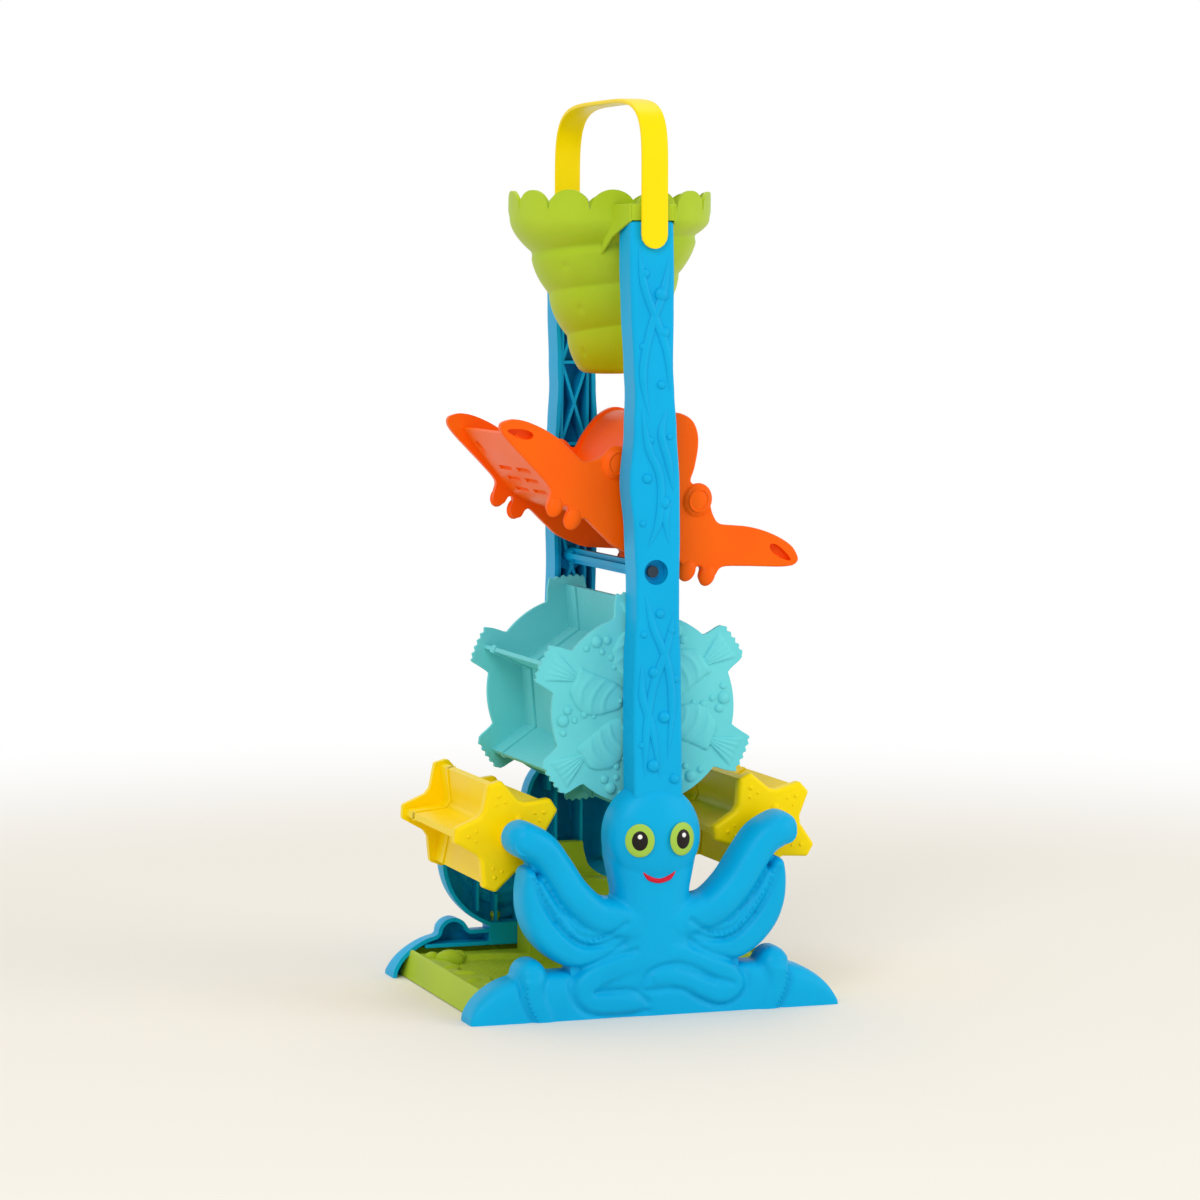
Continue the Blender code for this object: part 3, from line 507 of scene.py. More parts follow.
def inColumnHollow(point):
    s = SimpleNamespace(**columnShape)
    beside, behind, above = s.hollowInset
    middle, half = columnSides(point.z)
    front = frameShape["openY"] - s.depth + behind
    return point.z >= s.foot + above and abs(point.x - middle) < half - beside and point.y > front


def leanAt(z):
    return frameShape["lean"] * max(0.0, z - frameShape["footZ"])


def leanIn(verts):
    for v in verts:
        v.co.y += leanAt(v.co.z)


# press soft lines into the skin that faces outwards
def carveGrooves(bm, lines, half, depth):
    points = [point for line in lines for point in smoothPath(line, 24)]
    nearest = KDTree(len(points))
    for i, (x, z) in enumerate(points):
        nearest.insert((x, 0.0, z), i)
    nearest.balance()
    bm.normal_update()
    for v in bm.verts:
        if v.normal.y < -0.15:
            away = nearest.find((v.co.x, 0.0, v.co.z))[2]
            v.co.y += depth * exp(-(away / half) ** 2)


# row of small studs on the skin, along (x, z) points
def addStuds(bm, skin, line, spacing, size):
    path = smoothPath(line, 16)
    walked = 0.0
    for (x0, z0), (x1, z1) in zip(path, path[1:]):
        walked += hypot(x1 - x0, z1 - z0)
        if walked >= spacing:
            walked -= spacing
            hit = skin.ray_cast(Vector((x1, -200.0, z1)), Vector((0.0, 1.0, 0.0)))[0]
            if hit:
                addDome(bm, (x1, hit.y, z1), size, 10)


def sideways(line, side):
    return [(side * point[0], *point[1:]) for point in line]


def makeFrameBody(name):
    s = SimpleNamespace(**frameShape)
    y, deep = s.openY, s.head[1]
    bm = bmesh.new()
    for v in addDome(bm, (0.0, y, s.headZ), s.head, 56):
        v.co.y = y + signedPower((v.co.y - y) / deep, s.headPower) * deep
    for limb in s.trunk.values():
        addLimb(bm, y, *limb)
    for side in (-1, 1):
        for depth, square, line in s.pairs.values():
            addLimb(bm, y, depth, square, sideways(line, side))
    across = Vector((0.0, s.baseDepth, 0.0))
    rows = [(Vector((x, y, 0.0)), across, Vector((0.0, 0.0, top))) for x, top in smoothPath(s.base, 3)]
    addSweep(bm, rows, 40, 4.5)
    for limb in s.curls.values():
        addLimb(bm, y, *limb)
    faceOut(bm)
    piece = newObject(bm, name)
    modify(piece, "REMESH", mode="VOXEL", voxel_size=s.voxel * mm)
    modify(piece, "SMOOTH", factor=0.5, iterations=3)
    bm = backToMesh(bakeModifiers(piece))
    grooves = [sideways(line, side) for line in s.pairGrooves for side in (-1, 1)]
    carveGrooves(bm, grooves + s.curlGrooves, s.grooveHalf, s.grooveDepth)
    for where, away in (((0, y, 0), (0, 1, 0)), ((0, 0, 0), (0, 0, -1))):
        everything = bm.verts[:] + bm.edges[:] + bm.faces[:]
        bmesh.ops.bisect_plane(bm, geom=everything, plane_co=where, plane_no=away, clear_outer=True)
    # head skin inside the column
    hidden = [f for f in bm.faces if all(inColumnHollow(v.co) for v in f.verts)]
    bmesh.ops.delete(bm, geom=hidden, context="FACES")
    skin = BVHTree.FromBMesh(bm)
    bm = backToMesh(thicken(newObject(bm, name), s.wall))
    for v in bm.verts:
        v.co.z = max(v.co.z, 0.0)     # the wall's rim stays on the ground
    for side in (-1, 1):
        for spacing, line in s.studRows:
            addStuds(bm, skin, sideways(line, side), spacing, s.stud)
    return newObject(bm, name)


def makeColumn(name):
    s = SimpleNamespace(**columnShape)
    y = frameShape["openY"]
    face = y - s.depth
    bm = bmesh.new()
    addBlock(bm, (-1.0, face, s.foot), (1.0, y, s.top))
    middles = [(f, f.calc_center_median()) for f in bm.faces]
    openSides = [f for f, middle in middles if middle.y > y - 0.1 or middle.z < s.foot + 0.1]
    bmesh.ops.delete(bm, geom=openSides, context="FACES_ONLY")
    upright = [e for e in bm.edges if abs(e.verts[0].co.z - e.verts[1].co.z) > 10]
    bmesh.ops.subdivide_edges(bm, edges=upright, cuts=s.cuts, use_grid_fill=True)
    bmesh.ops.delete(bm, geom=[e for e in bm.edges if not e.link_faces], context="EDGES")
    for v in bm.verts:
        middle, half = columnSides(v.co.z)
        v.co.x = middle + v.co.x * half
    faceOut(bm)
    corners = [e for e in bm.edges if len(e.link_faces) == 2 and e.calc_face_angle(0.0) > 1.0]
    roundEdges(bm, corners, s.edge, 4)
    leanIn(bm.verts)
    piece = thicken(newObject(bm, name), frameShape["wall"])
    hole = bmesh.new()
    outside = y - s.drillFrom
    addRod(hole, s.recess, outside, y - s.recessBack, z=s.recessZ, sides=48)
    addRod(hole, s.pin, outside, y - s.pinBack, z=s.pinZ)
    bm = cutAway(piece, hole)
    relief = []
    for ridge in s.ridges:
        relief += addRidge(bm, ridge, face, s.ridgeHalf, s.ridgeHeight)
    for x, z, radius in s.bubbles:
        relief += addDome(bm, (x, face + s.bubbleSink, z), (radius, s.bubbleFlat * radius, radius), 20)
    leanIn(relief)
    return newObject(bm, name)


# inside of a frame: lengthwise and crossed ribs, shelves, box for the tray and bored bosses (x, z, depth)
ribShape = {
    "x": 7.4, "thickness": 1.8, "top": 441.0, "front": -88.6, "setback": 2.0, "join": 1.0, "sunk": 1.2,
    "drillTo": 20.0, "drillFrom": 40.0, "boxHalf": 52.0, "boxTop": 31.0, "ledge": 17.3, "ledgeReach": 93.0,
    "crossFirst": 126.0, "crossCell": 50.0, "crossCount": 6, "crossDepth": 13.0,
    "shelves": (126.0, 226.0, 326.0, 376.0, 426.0), "shelf": 1.8,
    "armRibs": [(32.0, 31.0, 46.0), (46.0, 31.0, 48.0), (58.0, 38.0, 62.0)],
    "armRib": 1.6, "armRibY": (15.0, 5.0), "shelfDepth": 16.0, "boxDepth": 15.0, "bore": 4.3,
    "boreDepth": 11.3, "bossWall": 2.4,
    "axles": [(0.0, 284.5, 19.5), (0.0, 176.2, 19.5), (-80.2, 103.5, 20.0), (80.2, 103.5, 20.0)],
}


def makeRibs(name):
    s, f, c = (SimpleNamespace(**shape) for shape in (ribShape, frameShape, columnShape))
    y, front = f.openY, s.front
    inner, shelfY = y - s.setback, y - s.shelfDepth
    join, half = s.join, 0.5 * s.armRib
    deep, shallow = s.armRibY
    bm = bmesh.new()
    for side in (-1, 1):
        near, far = side * s.x, side * (s.x + s.thickness)
        addBlock(bm, (near, front - join, s.boxTop - join), (far, inner, f.footZ + join))
        leanIn(addBlock(bm, (near, front, f.footZ), (far, inner, s.top)))
        for x, bottom, top in s.armRibs:
            addBlock(bm, (side * x - half, y - deep, bottom), (side * x + half, y - shallow, top))
    width = 2 * s.x + s.thickness
    size = Vector((s.thickness, s.crossDepth, hypot(width, s.crossCell)))
    for i in range(s.crossCount):
        middle = (0, inner - join - 0.5 * s.crossDepth, s.crossFirst + (i + 0.5) * s.crossCell)
        for slope in (-1, 1):
            verts = addBlock(bm, -0.5 * size, 0.5 * size)
            turn(bm, verts, slope * atan2(width, s.crossCell), "Y")
            move(bm, verts, middle)
            leanIn(verts)
    reach, half = s.x + 0.5 * join, 0.5 * s.shelf
    for z in s.shelves:
        leanIn(addBlock(bm, (-reach, shelfY, z - half), (reach, inner - join, z + half)))
    addBlock(bm, (-s.ledgeReach, shelfY, s.ledge), (s.ledgeReach, y, s.ledge + f.wall), 0.5)
    boxLow = (-s.boxHalf, y - s.boxDepth, s.ledge + join)
    addBlock(bm, boxLow, (s.boxHalf, y - 0.2, s.boxTop), 0.6)
    hole = bmesh.new()
    for x, z, depth in s.axles:
        edge = y + leanAt(z)
        addRod(bm, s.bore + s.bossWall, edge - depth + s.sunk, edge - 0.5, x, z, rounding=0.4)
        addRod(hole, s.bore, edge - s.boreDepth, y + s.drillTo, x, z)
    skin = y + leanAt(c.recessZ) - c.depth
    cup = skin + c.recessDepth
    addRod(bm, c.recess + f.wall, skin + s.sunk, cup + f.wall, z=c.recessZ, sides=48)
    addRod(hole, c.recess, y - s.drillFrom, cup, z=c.recessZ, sides=48)
    return newObject(cutAway(newObject(bm, name), hole), name)


# plain face: round green-ringed eyes and a thin smile
faceShape = {
    "eyeX": 13.0, "eyeZ": 103.5, "eyeTurn": 0.3, "line": 1.5, "mouthY": -92.1,
    "mouth": [(-10, 84.5), (-6, 80.8), (0, 79.2), (6, 80.8), (10, 84.5)],
    "layers": [
        ("EyeRing", "eyeRingPaint", (8.6, 1.3, 9.8), 0.0, 0.0),
        ("EyePupil", "eyeDarkPaint", (4.8, 1.1, 5.8), 0.9, 0.0),
        ("EyeGlint", "eyeGlintPaint", (1.4, 0.5, 1.4), 1.8, 2.4)],
}


# y of the head's skin
def headFront(x, z):
    wide, deep, tall = frameShape["head"]
    inside = 1.0 - (x / wide) ** 2 - ((z - frameShape["headZ"]) / tall) ** 2
    return frameShape["openY"] - deep * max(0.05, inside) ** (0.5 * frameShape["headPower"])


def makeFace(prefix, side):
    s = SimpleNamespace(**faceShape)
    for name, material, size, out, rise in s.layers:
        bm = bmesh.new()
        for x in (-s.eyeX, s.eyeX):
            skin = headFront(x, s.eyeZ)
            verts = addDome(bm, (x, skin - out, s.eyeZ + rise), size, 24)
            turn(bm, verts, copysign(atan(s.eyeTurn), x), "Z", (x, skin, s.eyeZ))
        toRear(bm, side)
        finishPiece(newObject(bm, prefix + name), plastics[material], "tower", weigh=False)
    bm = bmesh.new()
    for v in addRidge(bm, s.mouth, 0.0, s.line, s.line, 12):
        v.co.y += min(headFront(v.co.x, v.co.z), s.mouthY)
    toRear(bm, side)
    finishPiece(newObject(bm, prefix + "Mouth"), plastics["mouthPaint"], "tower", weigh=False)


frontBody = makeFrameBody("frontFrameBody")
rearBody = mirrorAcross(frontBody, "rearFrameBody")
finishPiece(frontBody, blue, "tower", ("front_frame",), 50.0, False)
finishPiece(rearBody, blue, "tower", ("rear_frame",), 50.0, False)
for make, part in ((makeColumn, "FrameColumn"), (makeRibs, "FrameRibs")):
    front = make("front" + part)
    for piece in (front, mirrorAcross(front, "rear" + part)):
        finishPiece(piece, blue, "tower")
for side, end in bothEnds:
    makeFace(end + "Face", side)
print("side frames made")


# funnel

funnelShape = {
    "petals": 14, "perPetal": 16, "firstNotch": 240.0, "pitch": 25.0, "helixZ": 431.5, "coneZ": 442.7,
    "coneRadius": 46.6, "slope": 0.437, "bulge": 2.7, "bulgePower": 0.8, "bulgeFade": 5.0, "rimRadius": 59.3,
    "rimTurnZ": 462, "rimZ": 466.6, "petalHeight": 11.6, "petalLean": 0.8, "flareZ": 447.9, "flareTilt": 5.2,
    "flareAngle": 341.0, "flarePower": 1.8, "tipZ": 370.6, "lowZ": 375, "outlet": 6.0, "lip": (3.0, 0.2),
    "petalRows": 4, "wall": 2.2, "bracketHalf": 14.0, "bracketLow": 460.2, "bracketHigh": 469.8,
    "bracketFace": 76.5, "bracketBack": 57.6, "webHalf": 14.4, "webSpread": 0.19, "web": 1.6,
    "webTurn": 20.0,
    "footRings": [(4.2, 0.6), (1.4, 2.3)],
    "webOutline": [(76.5, 469.8), (76.5, 459.8), (55.5, 450.8), (43.5, 440.5)],
    "webInside": (445.0, 449.0, 453.0, 457.0, 461.0, 465.0, 469.8),
    "dimples": 16, "dimpleFirst": 150.0, "dimpleTurn": 71.0, "dimpleRadius": 40.0, "dimpleDepth": 1.0,
    "dimpleHalf": 2.2,
}


def funnelRadius(degrees, z):
    s = SimpleNamespace(**funnelShape)
    flare = s.flareZ + s.flareTilt * cos(radians(degrees - s.flareAngle))
    if z >= flare:
        neck = s.coneRadius + s.slope * (flare - s.coneZ)
        rise = min(1.0, (z - flare) / (s.rimTurnZ - flare))
        return s.rimRadius - (s.rimRadius - neck) * (1.0 - rise) ** s.flarePower
    phase = ((s.helixZ + s.pitch * degrees / 360.0 - z) / s.pitch) % 1.0
    tier = s.bulge * sin(pi * phase) ** s.bulgePower
    fade = smoothStep((flare - z) / s.bulgeFade)
    return s.coneRadius + s.slope * (z - s.coneZ) + tier * fade - dimple(degrees, z)


# small round dents scattered over the tiers
def dimple(degrees, z):
    s = SimpleNamespace(**funnelShape)
    depth = 0.0
    for i in range(s.dimples):
        at = (s.dimpleFirst + s.dimpleTurn * i) % 360.0
        height = s.helixZ + s.pitch * (at / 360.0 - 0.5 - i % 3)
        around = radians((degrees - at + 180.0) % 360.0 - 180.0) * s.dimpleRadius
        depth += s.dimpleDepth * exp(-(around ** 2 + (z - height) ** 2) / s.dimpleHalf ** 2)
    return depth


# thin web beside the column top, from the bracket down to the shell
def addWeb(bm, side, way):
    s = SimpleNamespace(**funnelShape)
    outline = list(s.webOutline)
    for z in s.webInside:
        # the inner edge runs in the middle of the shell's wall
        radius = funnelRadius(side * (90.0 - s.webTurn * way) % 360.0, z) - 0.5 * s.wall
        outline.append((radius * cos(radians(s.webTurn)), z))
    near = [bm.verts.new((0.0, y, z)) for y, z in outline]
    face = bm.faces.new(near)
    far = vertsIn(bmesh.ops.extrude_face_region(bm, geom=[face])["geom"])
    for v in near + far:
        outer = s.webHalf + s.webSpread * (s.bracketFace - v.co.y)
        v.co.x = way * (outer if v in far else outer - s.web)
        v.co.y *= side
    faces = once(f for v in near + far for f in v.link_faces)
    faceOut(bm, faces)
    roundEdges(bm, once(e for f in faces for e in f.edges), 0.4, 2)


def makeFunnel():
    s = SimpleNamespace(**funnelShape)
    count = s.petals * s.perPetal
    foot, tip = s.lowZ, s.tipZ
    loops = []
    bm = bmesh.new()

    def ring(place):
        verts = bmesh.ops.create_circle(bm, segments=count, radius=1.0)["verts"]
        loops.append(edgesOf(verts))
        for i, v in enumerate(verts):
            degrees = (s.firstNotch + 360.0 * i / count) % 360.0
            radius, z = place(i, degrees)
            v.co = (*onCircle(radius, degrees), z)

    def petal(i, share):
        across = (i % s.perPetal) / s.perPetal
        top = s.rimZ + s.petalHeight * (1.0 - (2.0 * across - 1.0) ** 2) ** 0.5
        return s.rimRadius + s.petalLean * share, s.rimTurnZ + share * (top - s.rimTurnZ)

    lip, rise = s.lip
    ring(lambda i, d: (s.outlet, tip + rise))
    ring(lambda i, d: (s.outlet + lip, tip))
    for inset, rise in s.footRings:
        ring(lambda i, d: (funnelRadius(d, foot) - inset, tip + rise))
    for z in range(foot, s.rimTurnZ + 1):
        ring(lambda i, d: (funnelRadius(d, z), z))
    for row in range(s.petalRows):
        ring(lambda i, d: petal(i, (row + 1) / s.petalRows))
    for low, high in zip(loops, loops[1:]):
        bmesh.ops.bridge_loops(bm, edges=low + high)
    faceOut(bm)
    bm = backToMesh(thicken(newObject(bm, "funnelShell"), s.wall))
    for side in (-1, 1):
        addBlock(bm, (-s.bracketHalf, side * s.bracketFace, s.bracketLow),
                 (s.bracketHalf, side * s.bracketBack, s.bracketHigh), 0.7)
        for way in (-1, 1):
            addWeb(bm, side, way)
    return newObject(bm, "funnelShell")


finishPiece(makeFunnel(), funnelLime, "tower", ("funnel",), 45.0)
print("funnel made")


# handle

handleShape = {
    "pivotZ": 452.0, "half": 8.0, "strap": 3.0, "top": 532.0, "shoulderZ": 478.0, "bend": 4.4, "steps": 40,
    "insideY": 77.5, "peg": 3.5, "pegIn": 56.0, "pegOut": 78.0, "square": 5.0,
    "endTurns": (82, 65, 45, 22, 0),
}


def makeHandle():
    s = SimpleNamespace(**handleShape)
    bm = bmesh.new()
    middle = s.insideY + 0.5 * s.strap
    crown = s.top - 0.5 * s.strap
    turns = map(radians, s.endTurns)
    end = [(-middle, s.pivotZ - s.half * sin(a), s.half * cos(a)) for a in turns]
    arch = []
    for i in range(s.steps + 1):
        t = pi * i / s.steps
        across = signedPower(-cos(t), 2 / s.bend)
        rise = max(0.0, sin(t)) ** (2 / s.bend)
        arch.append((across * middle, s.shoulderZ + rise * (crown - s.shoulderZ), s.half))
    rows = end + arch + [(-y, z, half) for y, z, half in reversed(end)]
    stations = []
    for i, (y, z, half) in enumerate(rows):
        along = heading(rows, i)
        normal = Vector((0.0, -along.y, along.x))
        stations.append((Vector((0.0, y, z)), Vector((half, 0.0, 0.0)), normal * (0.5 * s.strap)))
    addSweep(bm, stations, 28, s.square)
    for side in (-1, 1):
        pegIn, pegOut = side * s.pegIn, side * s.pegOut
        addRod(bm, s.peg, pegIn, pegOut, z=s.pivotZ, sides=24, rounding=0.6)
    faceOut(bm)
    return newObject(bm, "carryHandle")


finishPiece(makeHandle(), yellow, "handle", ("handle",), 50.0)
print("handle made")


# crab tray

crabShape = {
    "centreZ": 284.5, "tilt": 24.0, "faceY": 55.8, "backY": 50.2, "rounding": 3.6, "domeTop": 69.0,
    "eye": (27.5, 26.5), "eyeSize": (9.2, 4.8, 10.2), "eyeLine": (5.6, 2.7, 6.6), "eyeRim": 0.8,
    "eyeSink": 1.0,
    "toes": [(51.7, -11.5, 4.9), (38.8, -13.6, 5.3)],
    "toeDepth": 3.0, "toeSink": 1.4, "slit": (88.5, 18.7), "slitLength": 8.0, "slitHalf": 2.7,
    "slitBlunt": 0.35, "slitSlope": 0.18, "clear": 3.0, "slitDepth": 5.0, "wall": 2.0, "reach": 51.6,
    "hub": 6.8, "hubEnd": 63.5, "hubFoot": 54.0, "bore": 4.35, "boreEnd": 43.0, "drain": (79.0, 38.0, 11.0),
    "drainRadius": 4.2, "slotRows": (66.0, 58.5, 51.0), "slotY": 17.0, "slotHalf": (1.5, 12.0),
}


def crabOutline():
    top = crabShape["domeTop"]
    dome = [(6, top - 1.2), (11.5, top - 6), (15.5, top - 14), (18.4, top - 26), (19.5, top - 34)]
    shoulder = [(26, 34), (34, 30), (40, 23), (46, 19.5)]
    claw = [(55, 22), (64, 25), (75, 26.8), (86, 26.8), (94, 25.2), (99, 22), (101, 19), (99.3, 15.2),
            (93, 11.5), (82, 7), (70, 2.2), (58.5, -3.2)]
    legs = [(56.5, -9), (55.5, -14), (51.5, -16.5), (48, -14), (47, -9.5), (44.6, -8.5), (43, -11),
            (42.5, -16), (39, -19.5), (34.8, -17.5), (33.8, -12.5), (31, -10.8)]
    keel = [(24, -13.2), (16, -16), (8, -18.3)]
    return smoothLoop([(0, top)] + bothSides(dome + shoulder + claw + legs + keel), 4)


def tiltCrab(bm):
    turn(bm, bm.verts, radians(crabShape["tilt"]), "Y")
    move(bm, bm.verts, (0, 0, crabShape["centreZ"]))


def makeCrabPlate(name, side):
    s = SimpleNamespace(**crabShape)
    face, back = side * s.faceY, side * s.backY
    eyeX, eyeZ = s.eye
    wide, out, tall = s.eyeLine
    slitX, slitZ = s.slit
    bm = bmesh.new()
    addPlate(bm, crabOutline(), face, back, s.rounding, 6)
    for x in (-eyeX, eyeX):
        addDome(bm, (x, face - side * s.eyeSink, eyeZ), s.eyeSize, 32)
        ring = [(Vector((x + wide * cos(a), face + side * out, eyeZ + tall * sin(a))),
                 Vector((cos(a), 0, sin(a))) * s.eyeRim, Vector((0, s.eyeRim, 0)))
                for a in map(radians, range(0, 361, 15))]
        addSweep(bm, ring, 8)
    for x, z, half in s.toes:
        for way in (-1, 1):
            addDome(bm, (way * x, face - side * s.toeSink, z), (half, s.toeDepth, half + 1.6), 24)
    addRod(bm, s.hub, side * s.hubEnd, side * s.hubFoot, rounding=0.5)
    piece = newObject(bm, name)
    hole = bmesh.new()
    for way in (-1, 1):
        # claw slit: a lens that is blunter and higher towards the body
        lens = []
        for a in map(radians, range(0, 360, 20)):
            along = s.slitLength * cos(a)
            height = s.slitHalf * sin(a) * (1.0 - s.slitBlunt * cos(a))
            lens.append((way * (slitX + along), slitZ + height - s.slitSlope * along))
        addPlate(hole, lens[::way], face + side * s.clear, face - side * s.slitDepth, 0.0)
    addRod(hole, s.bore, side * (s.hubEnd + s.clear), side * s.boreEnd)
    faceOut(hole)
    bm = cutAway(piece, hole)
    tiltCrab(bm)
    return newObject(bm, name)


def makeCrabTrough():
    s = SimpleNamespace(**crabShape)
    top = s.domeTop - 2.6
    half = [(0, top), (5.5, top - 1.2), (10.5, top - 6), (14, top - 14), (16.2, top - 27), (17.6, 4),
            (19, -1.5), (24, -5), (44, -5.5), (58, 0.5), (72, 7.5), (90, 17.5)]
    line = smoothPath([(-x, z) for x, z in reversed(half[1:])] + half, 4)
    bm = bmesh.new()
    verts = [bm.verts.new((x, -s.reach, z)) for x, z in line]
    edges = [bm.edges.new(pair) for pair in zip(verts, verts[1:])]
    far = vertsIn(bmesh.ops.extrude_edge_only(bm, edges=edges)["geom"])
    move(bm, far, (0, 2 * s.reach, 0))
    faceOut(bm)
    piece = thicken(newObject(bm, "crabTrough"), s.wall, 0.0)
    hole = bmesh.new()
    drainX, drainY, drainZ = s.drain
    across, along = s.slotHalf
    for way in (-1, 1):
        for y in (-drainY, drainY):
            addPost(hole, s.drainRadius, 30.0, (way * drainX, y, drainZ))
        for x in s.slotRows:
            for y in (-s.slotY, s.slotY):
                addBlock(hole, (way * x - across, y - along, -20.0), (way * x + across, y + along, 30.0))
    bm = cutAway(piece, hole)
    tiltCrab(bm)
    return newObject(bm, "crabTrough")


for side, end in bothEnds:
    plate = makeCrabPlate(f"crab{end.title()}Plate", side)
    finishPiece(plate, orange, "crab", (f"crab_{end}_plate",), 45.0)
finishPiece(makeCrabTrough(), orange, "crab", ("crab_trough",), 35.0)
print("crab made")


# big paddle wheel

wheelShape = {
    "centreZ": 176.2, "halfY": 64.0, "radius": 56.5, "lobe": 12.8, "lobes": 6, "turn": 35.0, "lobeFlat": 8.8,
    "lobeFall": 5.6, "frill": 0.8, "frills": 100.0, "plate": 3.0, "core": 38.0, "vane": 1.2, "reach": 64.5,
    "seamY": 39.5, "seam": 0.15, "edge": 0.7, "vaneEdge": 0.35, "lapEdge": 0.35, "collar": 7.0, "step": 1.1,
    "hub": 6.8, "hubEnd": 67.9, "boss": (13.0, 3.2, 13.0), "tailFoot": 41.0, "tailRoot": 3.0, "tail": 26.0,
    "tailSpread": 24.0, "tailHeight": 2.0, "tailRibs": 5, "noseRadius": 11.0, "fishLength": 37.0,
    "fishHalf": 12.4, "fishHeight": 2.6, "fishSway": 9.0, "fishScales": 5, "sheetBack": 0.6,
    "tailSink": 0.35, "fishSink": 0.4, "fishEye": (1.5, 0.9, 1.5), "fishEyeAt": 0.14, "bubbleFlat": 0.6,
    "bubbles": [(47, 24, 2.6), (50, 31, 3.6), (43, 32, 1.9), (51, 39, 2.1), (37, 28, 2.2), (31, 31, 1.5)],
}


# prism core with a thin vane at each corner
def vaneOutline(core, reach, half):
    corners = ((core, -half), (reach, -half), (reach, half), (core, half))
    turns = evenTurns(wheelShape["turn"], wheelShape["lobes"])
    return [onCircle(radius, degrees, beside) for degrees in turns for radius, beside in corners]


def lobedOutline():
    s = SimpleNamespace(**wheelShape)
    cell = 360.0 / s.lobes
    outline = []
    for degrees in range(360):
        off = abs((degrees - s.turn + 0.5 * cell) % cell - 0.5 * cell)
        lift = smoothStep((s.lobeFlat + s.lobeFall - off) / s.lobeFall)
        frill = s.frill * lift * cos(radians(degrees - s.turn) * s.frills)
        outline.append(onCircle(s.radius + s.lobe * lift + frill, degrees))
    return outline


# low ribbed tail fin lying on the disc face, its root inwards; u runs from root to edge, w across
def addTailFin(bm, degrees, face, side):
    s = SimpleNamespace(**wheelShape)
    rootX, rootZ = onCircle(s.tailFoot, degrees)
    verts = addGrid(bm, 14, 36)
    for v in verts:
        u, w = 0.5 * (v.co.x + 1.0), v.co.y
        edge = s.tail * (0.9 + 0.12 * w * w)
        dx, dz = onCircle(s.tailRoot + u * (edge - s.tailRoot), degrees + s.tailSpread * w)
        ribbing = 1.0 + 0.12 * cos(pi * s.tailRibs * w)
        ends = smoothStep(u / 0.1) * smoothStep((1.0 - u) / 0.08)
        swell = sin(pi * min(0.97, 0.12 + 0.8 * u)) ** 0.7 * (1.0 - w ** 4) ** 0.5
        lift = s.tailHeight * ends * swell * ribbing
        v.co = (rootX + dx, face + side * (lift - s.tailSink), rootZ + dz)
    closeSheet(bm, verts, (0.0, -s.sheetBack * side, 0.0))


# plain fish in low relief with soft rows of scales; u runs from the nose, near the hub, to the tail, w across
def addFish(bm, degrees, face, side):
    s = SimpleNamespace(**wheelShape)
    verts = addGrid(bm, 48, 24)
    for v in verts:
        u, w = 0.5 * (v.co.x + 1.0), v.co.y
        half = s.fishHalf * sin(pi * (0.04 + 0.8 * u)) ** 0.75
        sway = s.fishSway * sin(pi * u)
        x, z = onCircle(s.noseRadius + u * s.fishLength, degrees + sway)
        dx, dz = onCircle(half * w, degrees + 90.0)
        rows = max(0.0, cos(2 * pi * (s.fishScales * u + 0.6 * w * w)))
        scales = 0.22 * rows * smoothStep((u - 0.22) / 0.1)
        ends = smoothStep(u / 0.12) * smoothStep((1.0 - u) / 0.08)
        lift = s.fishHeight * (1.0 - w ** 4) ** 0.5 * ends * (0.85 + scales)
        v.co = (x + dx, face + side * (lift - s.fishSink), z + dz)
    closeSheet(bm, verts, (0.0, -s.sheetBack * side, 0.0))
    eyeX, eyeZ = onCircle(s.noseRadius + s.fishEyeAt * s.fishLength, degrees + 0.5 * s.fishSway)
    addDome(bm, (eyeX, face + side * s.fishHeight * 0.8, eyeZ), s.fishEye, 14)


# vanes behind a wheel's face, on the rear half a band that laps the seam, and the hub
def addVanes(bm, s, side, vanes, lapped):
    joint = s.seamY + side * s.seam
    addPlate(bm, vanes, side * (s.halfY - s.plate + 1.0), joint, s.vaneEdge, 2, True)
    if side > 0:
        addPlate(bm, lapped, joint + s.collar, joint, s.lapEdge, 2, True)
    addRod(bm, s.hub, side * s.hubEnd, side * (s.halfY - 2.0), rounding=0.4)


# round bump on a wheel's face, at (radius, degrees)
def addBump(bm, radius, degrees, size, face, flat, segments):
    x, z = onCircle(radius, degrees)
    addDome(bm, (x, face, z), (size, flat * size, size), segments)


def makeWheelHalf(name, side):
    s = SimpleNamespace(**wheelShape)
    bm = bmesh.new()
    face = side * s.halfY
    addPlate(bm, lobedOutline(), face, face - side * s.plate, s.edge, 2, True)
    addVanes(bm, s, side, vaneOutline(s.core, s.reach, s.vane),
             vaneOutline(s.core + s.step, s.reach + 0.4, s.vane + s.step))
    for degrees in evenTurns(s.turn, s.lobes):
        addTailFin(bm, degrees, face, side)
        addFish(bm, degrees, face, side)
        for radius, shift, size in s.bubbles:
            addBump(bm, radius, degrees + shift, size, face, s.bubbleFlat, 18)
    addDome(bm, (0, face, 0), s.boss, 40)
    move(bm, bm.verts, (0, 0, s.centreZ))
    return newObject(bm, name)


for side, end in bothEnds:
    finishPiece(makeWheelHalf(f"wheel{end.title()}Half", side), turquoise, "wheel", (f"wheel_{end}_half",))
print("wheel made")


# star wheels

